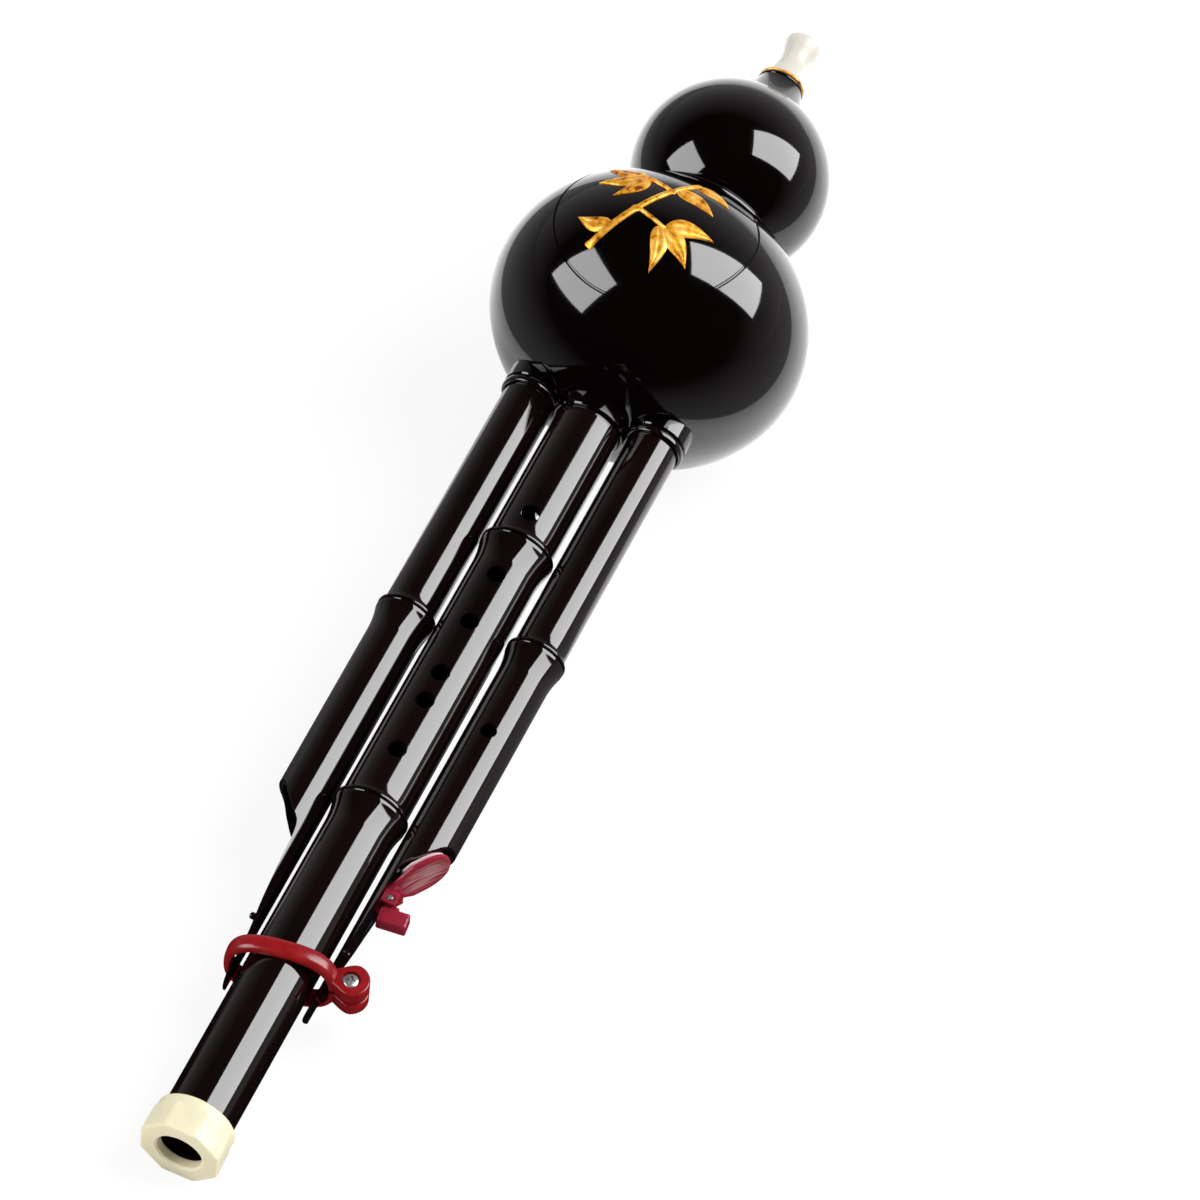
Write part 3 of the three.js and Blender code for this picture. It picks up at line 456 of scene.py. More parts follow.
# The cut's line: outward share of the radius and downward share from the scoop's top to the tail's tip
quill_shares = ((1.5, 0.0), (0.8, -0.024), (0.38, -0.084), (-0.02, -0.144), (-0.27, -0.174),
                (-0.46, -0.204), (-0.555, -0.265), (-0.6, -0.39), (-0.65, -0.474), (-0.72, -0.6),
                (-tail_share, -0.78), (-0.88, -1.0))


def spline_points(points, steps):
    """A smooth line through the points, each stretch in equal steps."""
    line = []
    points = [Vector(p) for p in points]
    padded = [points[0], *points, points[-1]]
    for a, b, c, d in zip(padded, padded[1:], padded[2:], padded[3:]):
        for i in range(steps):
            t = i / steps
            line.append(0.5 * (2 * b + (c - a) * t + (2 * a - 5 * b + 4 * c - d) * t * t
                               + (3 * b - a - 3 * c + d) * t ** 3))
    return [*line, points[-1]]


def slab(name, outline, low, high, matrix=Matrix.Identity(4)):
    """An outline in x and y, thickened along z, then placed by a matrix."""
    shape = bmesh.new()
    bottom = [shape.verts.new((x, y, low)) for x, y in outline]
    top = [shape.verts.new((x, y, high)) for x, y in outline]
    shape.faces.new(bottom)
    shape.faces.new(top)
    for i in range(len(outline)):
        j = (i + 1) % len(outline)
        shape.faces.new((bottom[i], bottom[j], top[j], top[i]))
    return new_piece(name, shape, matrix)


drones = {}
for side, label in ((-1, "left"), (1, "right")):
    x = side * drone_spacing
    outer = bamboo_profile(tail_tip - 1, head_station, lambda station: drone_radius, (drone_nodes[side],))
    drone = turn_mesh(f"{label}_drone_tube", [(drone_bore, tail_tip - 1), *outer, (drone_bore, head_station)],
                      130, (x, drone_depth))
    reach = quill_top - tail_tip
    edge = [(x + side * drone_radius * out, quill_top + reach * fall)
            for out, fall in spline_points(quill_shares, 10)]
    outline = [*edge, (edge[-1][0], tail_tip - 4.3), (x + side * quill_aside, tail_tip - 4.3)]
    tip = [(-quill_aside, tail_tip - 4), (quill_aside, tail_tip - 4), (quill_aside, tail_tip + tail_half)]
    tip += [((tail_half + 0.2) * math.sin(t), tail_tip + tail_half * (1 - math.cos(t)))
            for t in arc(0.5, -0.5, 24)]
    tip.append((-quill_aside, tail_tip + tail_half))
    sideways = Matrix.Translation((x, 0, drone_depth)) @ Matrix.Rotation(math.pi / 2, 4, "Y")
    cutters = [slab("cut", outline, -20.3, 20.7), slab("cut", tip, -12, 12, sideways)]
    if side > 0:
        cutters.append(hole_rods(drone_hole_radius, [drone_hole], 0, 12, x))
    combine(drone, [*reed_cutters(x, drone_depth, drone_radius, drone_bore), *cutters], "DIFFERENCE")
    drones[side] = dress(drone, pipe_lacquer, "black_pipes", "flute", f"{label}_drone")


# Rings on the drones: thin moulded beads that close the sleeves where the drones enter the gourd.
ring_inner = drone_radius + 0.3
ring_outer = ring_inner + 0.9
ring_top = 268.5
ring_height = 2.2
for side, label in ((-1, "left"), (1, "right")):
    middle = ring_top - ring_height / 2
    bead = [(ring_outer - 0.45 + 0.45 * math.cos(t), middle + (ring_height / 2) * math.sin(t))
            for t in arc(-0.5, 0.5, 10)]
    bead = [(ring_inner, ring_top - ring_height), *bead, (ring_inner, ring_top)]
    ring = turn_mesh(f"{label}_drone_bead", bead, 96, (side * drone_spacing, drone_depth))
    passing = turn_mesh("cut", [(0, 255), (main_head + 1.5, 255), (main_head + 1.5, 275), (0, 275)], 96,
                        closed=False)
    combine(ring, [passing], "DIFFERENCE")
    dress(ring, pipe_lacquer, "black_pipes", "flute", f"{label}_ring")


# Gourd: two hollow bulbs, lacquered as the pipes. The lower bulb carries three sleeves for the pipes
# and an engraved ring; a waist ring with a spigot joins it to the upper bulb.
lower_radius = 46.0
lower_half = 39.0
lower_station = 306.4
upper_radius = 28.7
upper_half = 28.1
gourd_wall = 2.4
rim_wall = 2.3
waist_half = 1.1
neck_hole = 6.6
lower_rim_share, upper_rim_share = 0.887, 0.666
rim_low = lower_station + lower_half * lower_rim_share
waist_station = rim_low + 0.3 + waist_half
rim_high = waist_station + waist_half + 0.3
upper_station = rim_high + upper_half * upper_rim_share
lower_rim = lower_radius * math.sqrt(1 - lower_rim_share ** 2)
upper_rim = upper_radius * math.sqrt(1 - upper_rim_share ** 2)
waist_hole = min(lower_rim, upper_rim) - rim_wall


def bulb_line(radius, half_height, station, start, end, steps):
    """A spheroid's outline between two heights above its middle."""
    low, high = math.asin(start / half_height), math.asin(end / half_height)
    angles = [low + (high - low) * i / steps for i in range(steps + 1)]
    return [(radius * math.cos(a) if math.cos(a) > 1e-6 else 0.0, station + half_height * math.sin(a))
            for a in angles]


inner_radius, inner_half = lower_radius - gourd_wall, lower_half - gourd_wall
outer = bulb_line(lower_radius, lower_half, lower_station, -lower_half, rim_low - lower_station, 96)
inner = bulb_line(inner_radius, inner_half, lower_station,
                  inner_half * math.sqrt(1 - (waist_hole / inner_radius) ** 2), -inner_half, 48)
lower_bulb = turn_mesh("lower_gourd_bulb", [*outer, (waist_hole, rim_low), *inner], 192, closed=False)
sleeve_end = lower_station - lower_half + 12
main_sleeve = main_head + 1.2
drone_sleeve = drone_radius + 1.2


def plug_mesh(radius, low, high, centre=(0, 0)):
    """A round bar along the flute."""
    return turn_mesh("tool", [(0, low), (radius, low), (radius, high), (0, high)], 128, centre, closed=False)


main_sleeve_start, drone_sleeve_start = 264.2, 268.8
sleeve_places = ((main_sleeve, main_radius(main_sleeve_start) + 0.3, main_sleeve_start, (0, 0)),
                 (drone_sleeve, drone_radius + 0.3, drone_sleeve_start, (-drone_spacing, drone_depth)),
                 (drone_sleeve, drone_radius + 0.3, drone_sleeve_start, (drone_spacing, drone_depth)))
combine(lower_bulb, [plug_mesh(outer, 255, 290, centre) for outer, bore, low, centre in sleeve_places],
        "DIFFERENCE")
sleeves = [turn_mesh("sleeve", [(bore, low), (outer - 0.35, low), (outer, low + 0.35), (outer, sleeve_end),
                                (bore, sleeve_end)], 128, centre)
           for outer, bore, low, centre in sleeve_places]
combine(sleeves[0], sleeves[1:], "UNION")

engraved_radius = 28.6
engraved_groove = 0.5
engraved_tilt = math.radians(8.8)
engraved_turn = math.radians(-4.4)
ring_aim = Matrix.Translation((0, lower_station, 0)) @ Matrix.Rotation(engraved_turn, 4, "Y") \
    @ Matrix.Rotation(-engraved_tilt, 4, "X")


def on_bulb(p, q, lift=0.0):
    """The point of the lower bulb's skin under (p, q) of the engraved ring's disc, lifted off it, and
    the skin's normal there."""
    start = ring_aim @ Vector((p, q, 0)) - Vector((0, lower_station, 0))
    ray = (ring_aim.to_3x3() @ Vector((0, 0, 1))).normalized()
    shrink = Vector((1, lower_radius / lower_half, 1))
    a, b = start * shrink, ray * shrink
    inside = max(0.0, a.dot(b) ** 2 - b.dot(b) * (a.dot(a) - lower_radius ** 2))
    point = start + ray * (math.sqrt(inside) - a.dot(b)) / b.dot(b)
    normal = Vector((point.x, point.y * (lower_radius / lower_half) ** 2, point.z)).normalized()
    return point + normal * lift + Vector((0, lower_station, 0)), normal


def tube_round(name, centres, radius, sides):
    """A closed tube through a ring of centres, each with the skin's normal."""
    shape = bmesh.new()
    rings = []
    for i, (centre, normal) in enumerate(centres):
        ahead_point = centres[(i + 1) % len(centres)][0]
        back_point = centres[i - 1][0]
        forward = (ahead_point - back_point).normalized()
        sideways = forward.cross(normal).normalized()
        rings.append([shape.verts.new(centre + radius * (math.cos(t) * sideways + math.sin(t) * normal))
                      for t in arc(0, 2, sides)[:-1]])
    for low, high in zip(rings, rings[1:] + rings[:1]):
        for k in range(sides):
            m = (k + 1) % sides
            shape.faces.new((low[k], low[m], high[m], high[k]))
    return new_piece(name, shape)


circle = [on_bulb(engraved_radius * math.cos(t), engraved_radius * math.sin(t))
          for t in arc(0, 2, 240)[:-1]]
combine(lower_bulb, [tube_round("cut", circle, engraved_groove, 10)], "DIFFERENCE")
shape = bmesh.new()
shape.from_mesh(lower_bulb.data)
shape.from_mesh(sleeves[0].data)
shape.to_mesh(lower_bulb.data)
shape.free()
bpy.data.objects.remove(sleeves[0])
dress(lower_bulb, gourd_lacquer, "black_gourd", "flute", "lower_bulb")

inner_radius, inner_half = upper_radius - gourd_wall, upper_half - gourd_wall
outer = bulb_line(upper_radius, upper_half, upper_station, rim_high - upper_station,
                  upper_half * math.sqrt(1 - (neck_hole / upper_radius) ** 2), 80)
inner = bulb_line(inner_radius, inner_half, upper_station,
                  inner_half * math.sqrt(1 - (neck_hole / inner_radius) ** 2),
                  -inner_half * math.sqrt(1 - (waist_hole / inner_radius) ** 2), 40)
upper_bulb = turn_mesh("upper_gourd_bulb", [(waist_hole, rim_high), *outer, *inner], 160)
dress(upper_bulb, gourd_lacquer, "black_gourd", "flute", "upper_bulb")

band = max(lower_rim, upper_rim) + 0.7
spigot = waist_hole - 0.3
edge = [(band - 0.6 + 0.6 * math.cos(t), waist_station + waist_half * math.sin(t)) for t in arc(-0.5, 0.5, 10)]
waist_ring = turn_mesh("waist_bead", [
    (spigot - 1.6, waist_station - waist_half - 7), (spigot, waist_station - waist_half - 7),
    (spigot, waist_station - waist_half), *edge, (spigot, waist_station + waist_half),
    (spigot, waist_station + waist_half + 7), (spigot - 1.6, waist_station + waist_half + 7)], 160)
dress(waist_ring, gourd_lacquer, "black_gourd", "flute", "waist_ring")


# Neck ferrule: a concave black cone on the upper bulb's crown, its spigot pushed into the bulb.
foot_radius = 10.0
hem_radius = 11.3
top_radius = 6.9
ferrule_length = 9.4
tenon_bore = 4.3


def crown(radius):
    """The station of the upper bulb's skin at a radius from its axis, on the mouthpiece's side."""
    return upper_station + upper_half * math.sqrt(1 - (radius / upper_radius) ** 2)


ferrule_start = crown(foot_radius) + 0.6
hem_start = crown(hem_radius) + 0.45
flare_end = ferrule_start + ferrule_length * 0.9
flare = [(top_radius + (hem_radius - top_radius) * (1 - i / 24) ** 1.25,
          hem_start + (flare_end - hem_start) * i / 24) for i in range(25)]
lip = [(top_radius + 0.18 * math.sin(math.pi * i / 8), ferrule_start + ferrule_length * (0.9 + 0.1 * i / 8))
       for i in range(1, 9)]
ferrule = turn_mesh("neck_cone", [
    (tenon_bore, ferrule_start - 6), (6.3, ferrule_start - 6), (6.3, crown(neck_hole) + 0.3),
    (hem_radius - 0.3, hem_start - 0.1), *flare, *lip, (tenon_bore, ferrule_start + ferrule_length)], 128)
dress(ferrule, gourd_lacquer, "black_gourd", "flute", "neck_ferrule")


# Neck rim: a thin gilt ring that shows as a gold line under the mouthpiece. The relief on the lower
# bulb is the same gold leaf over plastic: mottled orange and pale gold, thinner and browner at places.
gold_leaf, tree = new_finish("mottled_gold_leaf")
place = add_node(tree, "ShaderNodeTexCoord")
mottle = add_node(tree, "ShaderNodeTexNoise", {"Vector": place.outputs["Object"], "Scale": 330, "Detail": 5,
                                                "Roughness": 0.65})
ramp = add_node(tree, "ShaderNodeValToRGB", {"Fac": mottle.outputs["Fac"]})
ramp.color_ramp.elements[0].position = 0.33
ramp.color_ramp.elements[0].color = linear("#7a3c08")
ramp.color_ramp.elements[1].position = 0.68
ramp.color_ramp.elements[1].color = linear("#ffd978")
ramp.color_ramp.elements.new(0.47).color = linear("#f0a01e")
dull = add_node(tree, "ShaderNodeMapRange", {"Value": mottle.outputs["Fac"], "To Min": 0.5, "To Max": 0.28})
wrinkle = add_node(tree, "ShaderNodeBump", {
    "Height": mottle.outputs["Fac"], "Strength": 0.5, "Distance": 0.0001})
leaf_shader = add_node(tree, "ShaderNodeBsdfPrincipled", {
    "Base Color": ramp.outputs["Color"], "Metallic": 0.55, "Roughness": dull.outputs[0],
    "Normal": wrinkle.outputs[0]})
add_node(tree, "ShaderNodeOutputMaterial", {"Surface": leaf_shader.outputs[0]})

rim_start = ferrule_start + ferrule_length + 0.3
rim_height = 0.8
rim_radius = 7.0
rim_edge = [(rim_radius - 0.3 + 0.3 * math.cos(t), rim_start + rim_height / 2 * (1 + math.sin(t)))
            for t in arc(-0.5, 0.5, 8)]
neck_rim = turn_mesh("gilt_rim", [(tenon_bore, rim_start), *rim_edge, (tenon_bore, rim_start + rim_height)], 96)
dress(neck_rim, gold_leaf, "gilding", "flute", "neck_rim")


# Gilded relief inside the engraved ring: a bamboo sprig of jointed stems and pointed leaves, low and
# rounded, following the bulb's skin.
sprig_reach = 19.8
sprig_shift = Vector((-0.5, -2.6))
sprig_height = 0.75
# Each stem and leaf: where it starts and ends and half its width, as shares of the sprig's reach
stems = (((-0.62, -0.85), (-0.19, -0.11), 0.055), ((-0.2, -0.14), (0.11, 0.44), 0.048),
         ((0.1, 0.41), (0.36, 0.92), 0.04), ((-0.19, -0.12), (0.32, -0.31), 0.03),
         ((0.1, 0.43), (-0.37, 0.62), 0.03))
leaves = (((0.3, -0.3), (0.98, -0.1), 0.15), ((0.28, -0.32), (0.8, -0.68), 0.15),
          ((0.22, -0.3), (0.36, -0.95), 0.13), ((-0.35, 0.62), (-0.98, 0.78), 0.13),
          ((-0.36, 0.6), (-0.95, 0.3), 0.15), ((-0.3, 0.58), (-0.62, 0.02), 0.13),
          ((0.16, 0.5), (0.78, 0.32), 0.14), ((0.34, 0.86), (0.86, 0.72), 0.11),
          ((-0.42, -0.5), (-0.95, -0.42), 0.12))
blade = bmesh.new()
long_steps, cross_steps = 28, 10


def close_plate(shape, top, bottom):
    """The faces of a closed plate between two grids of corners, given row by row."""
    for rows in (top, bottom):
        for low, high in zip(rows, rows[1:]):
            for k in range(len(low) - 1):
                shape.faces.new((low[k], low[k + 1], high[k + 1], high[k]))
    for i in range(len(top) - 1):
        for k in (0, -1):
            shape.faces.new((top[i][k], top[i + 1][k], bottom[i + 1][k], bottom[i][k]))
    for i in (0, -1):
        for k in range(len(top[0]) - 1):
            shape.faces.new((top[i][k], top[i][k + 1], bottom[i][k + 1], bottom[i][k]))


def relief_strip(start, end, width, leafy):
    """One raised stem or leaf: a closed low mound on the bulb's skin."""
    start, end = (Vector(point) * sprig_reach + sprig_shift for point in (start, end))
    line = end - start
    sideways = Vector((-line.y, line.x)).normalized()
    top, bottom = [], []
    for i in range(long_steps + 1):
        t = i / long_steps
        if leafy:
            spread = max(0.02, math.sin(math.pi * t ** 0.62)) * width * sprig_reach
            bend = 0.09 * line.length * math.sin(math.pi * t)
        else:
            knot = math.exp(-((t - 0.04) / 0.03) ** 2) + math.exp(-((t - 0.96) / 0.03) ** 2)
            spread = width * sprig_reach * (1 + 0.35 * knot)
            bend = 0
        row_top, row_bottom = [], []
        for k in range(cross_steps + 1):
            u = 2 * k / cross_steps - 1
            point = start + line * t + sideways * (u * spread + bend)
            mound = max(0.0, 1 - u ** 4)
            rib = 0.3 * math.exp(-(u / 0.16) ** 2) if leafy else 0
            thin = min(1.0, 8 * t, 8 * (1 - t))
            lift = sprig_height * (0.75 * mound - rib * mound) * (0.35 + 0.65 * thin)
            row_top.append(blade.verts.new(on_bulb(point.x, point.y, 0.08 + lift)[0]))
            row_bottom.append(blade.verts.new(on_bulb(point.x, point.y, -0.12)[0]))
        top.append(row_top)
        bottom.append(row_bottom)
    close_plate(blade, top, bottom)


for start, end, width in stems:
    relief_strip(start, end, width, False)
for start, end, width in leaves:
    relief_strip(start, end, width, True)
sprig = new_piece("gilded_sprig_relief", blade)
dress(sprig, gold_leaf, "gilding", "flute", "gilded_sprig", angle=50)


# Mouthpiece: milky polypropylene, turned to a waist below a rounded lip, with a breath bore. Light
# sinks a little way in, so its edges look soft and slightly yellow.
milk_plastic, tree = new_finish("milky_polypropylene")
cloud, tone = grainy_tone(tree, 180, 2, "#c6c4bc", "#bbb7ab")
skin = add_node(tree, "ShaderNodeBump", {"Height": cloud.outputs["Fac"], "Strength": 0.2, "Distance": 0.00004})
milk = add_node(tree, "ShaderNodeBsdfPrincipled", {
    "Base Color": tone.outputs[2], "Roughness": 0.32, "IOR": 1.49, "Subsurface Weight": 0.5,
    "Subsurface Radius": (1.0, 0.8, 0.55), "Subsurface Scale": 0.004, "Normal": skin.outputs[0]})
add_node(tree, "ShaderNodeOutputMaterial", {"Surface": milk.outputs[0]})

mouth_start = rim_start + rim_height + 0.3
mouth_length = 16.2
mouth_bore = 2.3
tenon = 4.0
# The outside: share of the length, and radius
mouth_shares = ((0.0, 6.2), (0.12, 5.4), (0.26, 4.65), (0.46, 4.1), (0.64, 4.32), (0.8, 5.0), (0.9, 5.3),
                (0.955, 5.05), (0.985, 4.6), (1.0, 4.1))
body_line = [(p.y, mouth_start + mouth_length * p.x) for p in spline_points(mouth_shares, 6)]
mouthpiece = turn_mesh("mouthpiece_tube", [
    (mouth_bore, mouth_start - 13), (tenon, mouth_start - 13), (tenon, mouth_start), *body_line,
    (mouth_bore + 0.5, mouth_start + mouth_length), (mouth_bore, mouth_start + mouth_length - 0.5)], 96)
dress(mouthpiece, milk_plastic, "milk_mouthpiece", "mouthpiece", "mouthpiece")


# End cap: cream moulded plastic, eight flats flaring to the end face, a round lip against the pipe,
# and a bore. A little translucent, so its bore and lip glow yellow.
cream, tree = new_finish("cream_moulded_plastic")
cloud, tone = grainy_tone(tree, 120, 3, "#d8d3ba", "#ccc4a2")
skin = add_node(tree, "ShaderNodeBump", {
    "Height": cloud.outputs["Fac"], "Strength": 0.25, "Distance": 0.00005})
cream_shader = add_node(tree, "ShaderNodeBsdfPrincipled", {
    "Base Color": tone.outputs[2], "Roughness": 0.34, "IOR": 1.5, "Subsurface Weight": 0.4,
    "Subsurface Radius": (1.0, 0.75, 0.4), "Subsurface Scale": 0.004, "Normal": skin.outputs[0]})
add_node(tree, "ShaderNodeOutputMaterial", {"Surface": cream_shader.outputs[0]})

cap_length = 11.7
cap_end = 12.2
cap_neck = 11.9
cap_lip = 11.3
lip_height = 2.6
lip_start = cap_length - lip_height


def rounded_edges(piece, width, segments=3, angle=30):
    """Rounds a piece's sharp edges."""
    bevel = piece.modifiers.new("soft_edges", "BEVEL")
    bevel.width = width * MM
    bevel.segments = segments
    bevel.limit_method = "ANGLE"
    bevel.angle_limit = math.radians(angle)
    settle(piece)


end_cap = turn_mesh("end_cap_flats", [(0, 0), (cap_end, 0), (cap_neck, lip_start), (0, lip_start)], 8,
                    closed=False)
end_cap.data.transform(seat @ Matrix.Rotation(math.pi / 8, 4, "Y") @ seat.inverted())
bpy.context.view_layer.update()
rounded_edges(end_cap, 0.7, 4)
lip_line = [(cap_lip - lip_height / 3 * (1 - math.sin(t)), cap_length - lip_height / 3 * (1 - math.cos(t)))
            for t in arc(0.5, 0, 8)]
lip_line = [(0, 4), (cap_lip - 1, 4), (cap_lip, lip_start - 0.5), *lip_line, (0, cap_length)]
lip_body = turn_mesh("tool", lip_line, 96, closed=False)
combine(end_cap, [lip_body], "UNION")
combine(end_cap, [plug_mesh(main_foot + 0.3, cap_length - 8.7, cap_length + 3),
                  turn_mesh("tool", [(0, -1), (main_bore + 1.6, -1), (main_bore, 0.6), (main_bore, 6), (0, 6)],
                            96, closed=False)], "DIFFERENCE")
dress(end_cap, cream, "cream_cap", "flute", "end_cap")


# Clamp: one band of glossy red moulded plastic over the main pipe and both tails, with rounded edges,
# ending in two round ears that a screw draws together.
red_plastic, tree = new_finish("red_moulded_plastic")
grain, tone = grainy_tone(tree, 260, 3, "#66080c", "#8e161a")
skin = add_node(tree, "ShaderNodeBump", {
    "Height": grain.outputs["Fac"], "Strength": 0.3, "Distance": 0.00006})
gloss = add_node(tree, "ShaderNodeMapRange", {"Value": grain.outputs["Fac"], "To Min": 0.16, "To Max": 0.28})
red_shader = add_node(tree, "ShaderNodeBsdfPrincipled", {
    "Base Color": tone.outputs[2], "Roughness": gloss.outputs[0], "IOR": 1.5, "Normal": skin.outputs[0],
    "Subsurface Weight": 0.08, "Subsurface Radius": (1.0, 0.2, 0.1), "Subsurface Scale": 0.002})
add_node(tree, "ShaderNodeOutputMaterial", {"Surface": red_shader.outputs[0]})

clamp_station = 64.1
clamp_tilt = math.radians(8.7)
clamp_width = 5.4
clamp_wall = 2.0
side_room = 1.45
crown_share, flank_share = 0.58, 0.85
ear_radius = 5.2
ear_gap = 1.2
ear_thickness = 4.2
screw_offset = 19.2
ear_middle = -0.1
screw_hole, head_recess, recess_depth = 1.5, 2.6, 1.7
front_face = ear_middle + ear_gap / 2 + ear_thickness
back_face = ear_middle - ear_gap / 2 - ear_thickness


def bezier(points, steps):
    """A curve from the first point to the last, bent towards those between; the last is left out."""
    line = []
    for i in range(steps):
        row = [Vector(p) for p in points]
        while len(row) > 1:
            row = [a.lerp(b, i / steps) for a, b in zip(row, row[1:])]
        line.append(row[0])
    return line


def clamp_line(grow):
    """The band's line round the pipes, in x and z, at a distance from its inner face."""
    side = tail_edge + side_room + grow
    rise = main_foot + 0.3 + grow
    bend = side * crown_share
    front_flank = drone_depth + (rise - drone_depth) * flank_share
    back_flank = drone_depth - (rise + drone_depth) * flank_share
    line = bezier([(-side, drone_depth), (-side, front_flank), (-bend, rise), (0, rise)], 40)
    line += bezier([(0, rise), (bend, rise), (side, front_flank), (side, drone_depth)], 40)
    line += bezier([(side, drone_depth), (side, back_flank), (bend, -rise), (0, -rise)], 40)
    line += bezier([(0, -rise), (-bend, -rise), (-side, back_flank), (-side, drone_depth)], 40)
    return line


round_share = 0.72
section = [(0.0, clamp_width / 2), *[(clamp_wall * (1 - round_share + round_share * math.sin(t)),
            clamp_width / 2 - clamp_wall * round_share * 1.5 * (1 - math.cos(t)))
            for t in arc(0, 0.5, 8)]]
section += [(out, -up) for out, up in reversed(section)]
shape = bmesh.new()
rings = []
for low, high in zip(clamp_line(0.0), clamp_line(clamp_wall)):
    rings.append([shape.verts.new((low.x + (high.x - low.x) * out / clamp_wall, up,
                                   low.y + (high.y - low.y) * out / clamp_wall)) for out, up in section])
for low, high in zip(rings, rings[1:] + rings[:1]):
    for k in range(len(section)):
        m = (k + 1) % len(section)
        shape.faces.new((low[k], low[m], high[m], high[k]))
clamp = new_piece("red_clamp_band", shape)


def ear(low, high):
    """One ear: a round end with a root that runs into the band's wall."""
    root = tail_edge + side_room + 0.4
    half_band = clamp_width / 2 - 0.3
    outline = [(screw_offset + ear_radius * math.cos(t), ear_radius * math.sin(t))
               for t in (math.pi * (i / 32 - 0.42) for i in range(28))]
    join = Vector(outline[-1])
    bend = join + Vector((-2.2, 0.3))
    outline += bezier([join, bend, (root + 1, half_band), (root, half_band)], 8)[1:]
    outline += [(root, half_band), (root, -half_band)]
    outline += bezier([(root, -half_band), (root + 1, -half_band), (bend.x, -bend.y), outline[0]], 8)[1:]
    piece = slab("tool", outline, low, high)
    rounded_edges(piece, 0.7, 4)
    return piece


def set_askew(piece):
    """Puts a level piece of the clamp where the clamp sits on the pipes, its ears nearer the gourd."""
    turn = Matrix.Translation((0, clamp_station, 0)) @ Matrix.Rotation(clamp_tilt, 4, "Z")
    piece.data.transform(seat @ turn @ seat.inverted())
    return piece


combine(clamp, [ear(ear_middle + ear_gap / 2, front_face), ear(back_face, ear_middle - ear_gap / 2)], "UNION")
combine(clamp, [box_piece("cut", (tail_edge - 2, -8, ear_middle - ear_gap / 2),
                          (screw_offset + 8, 8, ear_middle + ear_gap / 2)),
                front_rod("cut", screw_hole, screw_offset, 0, back_face - 3, front_face + 3),
                front_rod("cut", head_recess, screw_offset, 0, front_face - recess_depth, front_face + 3)],
        "DIFFERENCE")
dress(set_askew(clamp), red_plastic, "red_clamp", "flute", "clamp", angle=38)


# Clamp screw and nut: bright zinc-plated steel, a pan head with a cross recess sunk in the front ear,
# and a hexagon nut behind. The plating is fine-grained, so highlights spread a little.
zinc, tree = new_finish("bright_zinc_plate")
grain, tone = grainy_tone(tree, 900, 4, "#9a9a98", "#e6e6e4")
grip = add_node(tree, "ShaderNodeMapRange", {"Value": grain.outputs["Fac"], "To Min": 0.22, "To Max": 0.42})
skin = add_node(tree, "ShaderNodeBump", {"Height": grain.outputs["Fac"], "Strength": 0.3, "Distance": 0.00003})
zinc_shader = add_node(tree, "ShaderNodeBsdfPrincipled", {
    "Base Color": tone.outputs[2], "Metallic": 0.9, "Roughness": grip.outputs[0], "Normal": skin.outputs[0]})
add_node(tree, "ShaderNodeOutputMaterial", {"Surface": zinc_shader.outputs[0]})

screw_head = 2.3
screw_shank = 1.2
screw_seat = front_face - 1.4
head_height = 1.3
nut_height = 1.8


def front_turn(name, profile, x, station, sides=48):
    """Revolves [radius, height] points about a line that runs front to back."""
    piece = turn_mesh(name, profile, sides, closed=False)
    swing = seat @ Matrix.Translation((x, station, 0)) @ Matrix.Rotation(math.pi / 2, 4, "X") @ seat.inverted()
    piece.data.transform(swing)
    return piece


dome = [(screw_head * math.cos(t), screw_seat + 0.6 + (head_height - 0.6) * math.sin(t))
        for t in arc(0, 0.5, 8)[:-1]]
screw = front_turn("clamp_screw_cross_head", [
    (0, back_face - nut_height - 0.6), (screw_shank, back_face - nut_height - 0.6),
    (screw_shank, screw_seat), (screw_head, screw_seat), *dome, (0, screw_seat + head_height)],
    screw_offset, 0)
slot_half, slot_reach = 0.32, 1.35
cross = [box_piece("cut", (screw_offset - a, -b, screw_seat + 0.5), (screw_offset + a, b, screw_seat + 3))
         for a, b in ((slot_half, slot_reach), (slot_reach, slot_half))]
combine(screw, cross, "DIFFERENCE")
dress(set_askew(screw), zinc, "zinc_screw", "flute", "clamp_screw")

nut_top = back_face - 0.3
nut_corner = 2.6
hexagon = [(screw_offset + nut_corner * math.cos(t), nut_corner * math.sin(t)) for t in arc(0, 2, 6)[:-1]]
nut = slab("clamp_hexagon_nut", hexagon, nut_top - nut_height, nut_top)
rounded_edges(nut, 0.2, 2)
combine(nut, [front_rod("cut", screw_shank + 0.3, screw_offset, 0, nut_top - 4, nut_top + 2)], "DIFFERENCE")
dress(set_askew(nut), zinc, "zinc_screw", "flute", "clamp_nut")


# Drone key: crimson moulded plastic, slightly translucent. A hub on a pin carries a block for the
# finger and a dished leaf that closes the right drone's scoop; a bracket in the tail's trough holds it.
pivot_x = 17.0
pivot_station = 96.5
leaf_angle = math.radians(57)
dish_reach = 13.5
leaf_middle = seat @ Vector((pivot_x + dish_reach * math.cos(leaf_angle),
                             pivot_station + dish_reach * math.sin(leaf_angle), drone_depth))
leaf_way = across * math.cos(leaf_angle) + along * math.sin(leaf_angle)
crimson, tree = new_finish("crimson_moulded_plastic")
grain, tone = grainy_tone(tree, 300, 3, "#6e1024", "#8e1e30")
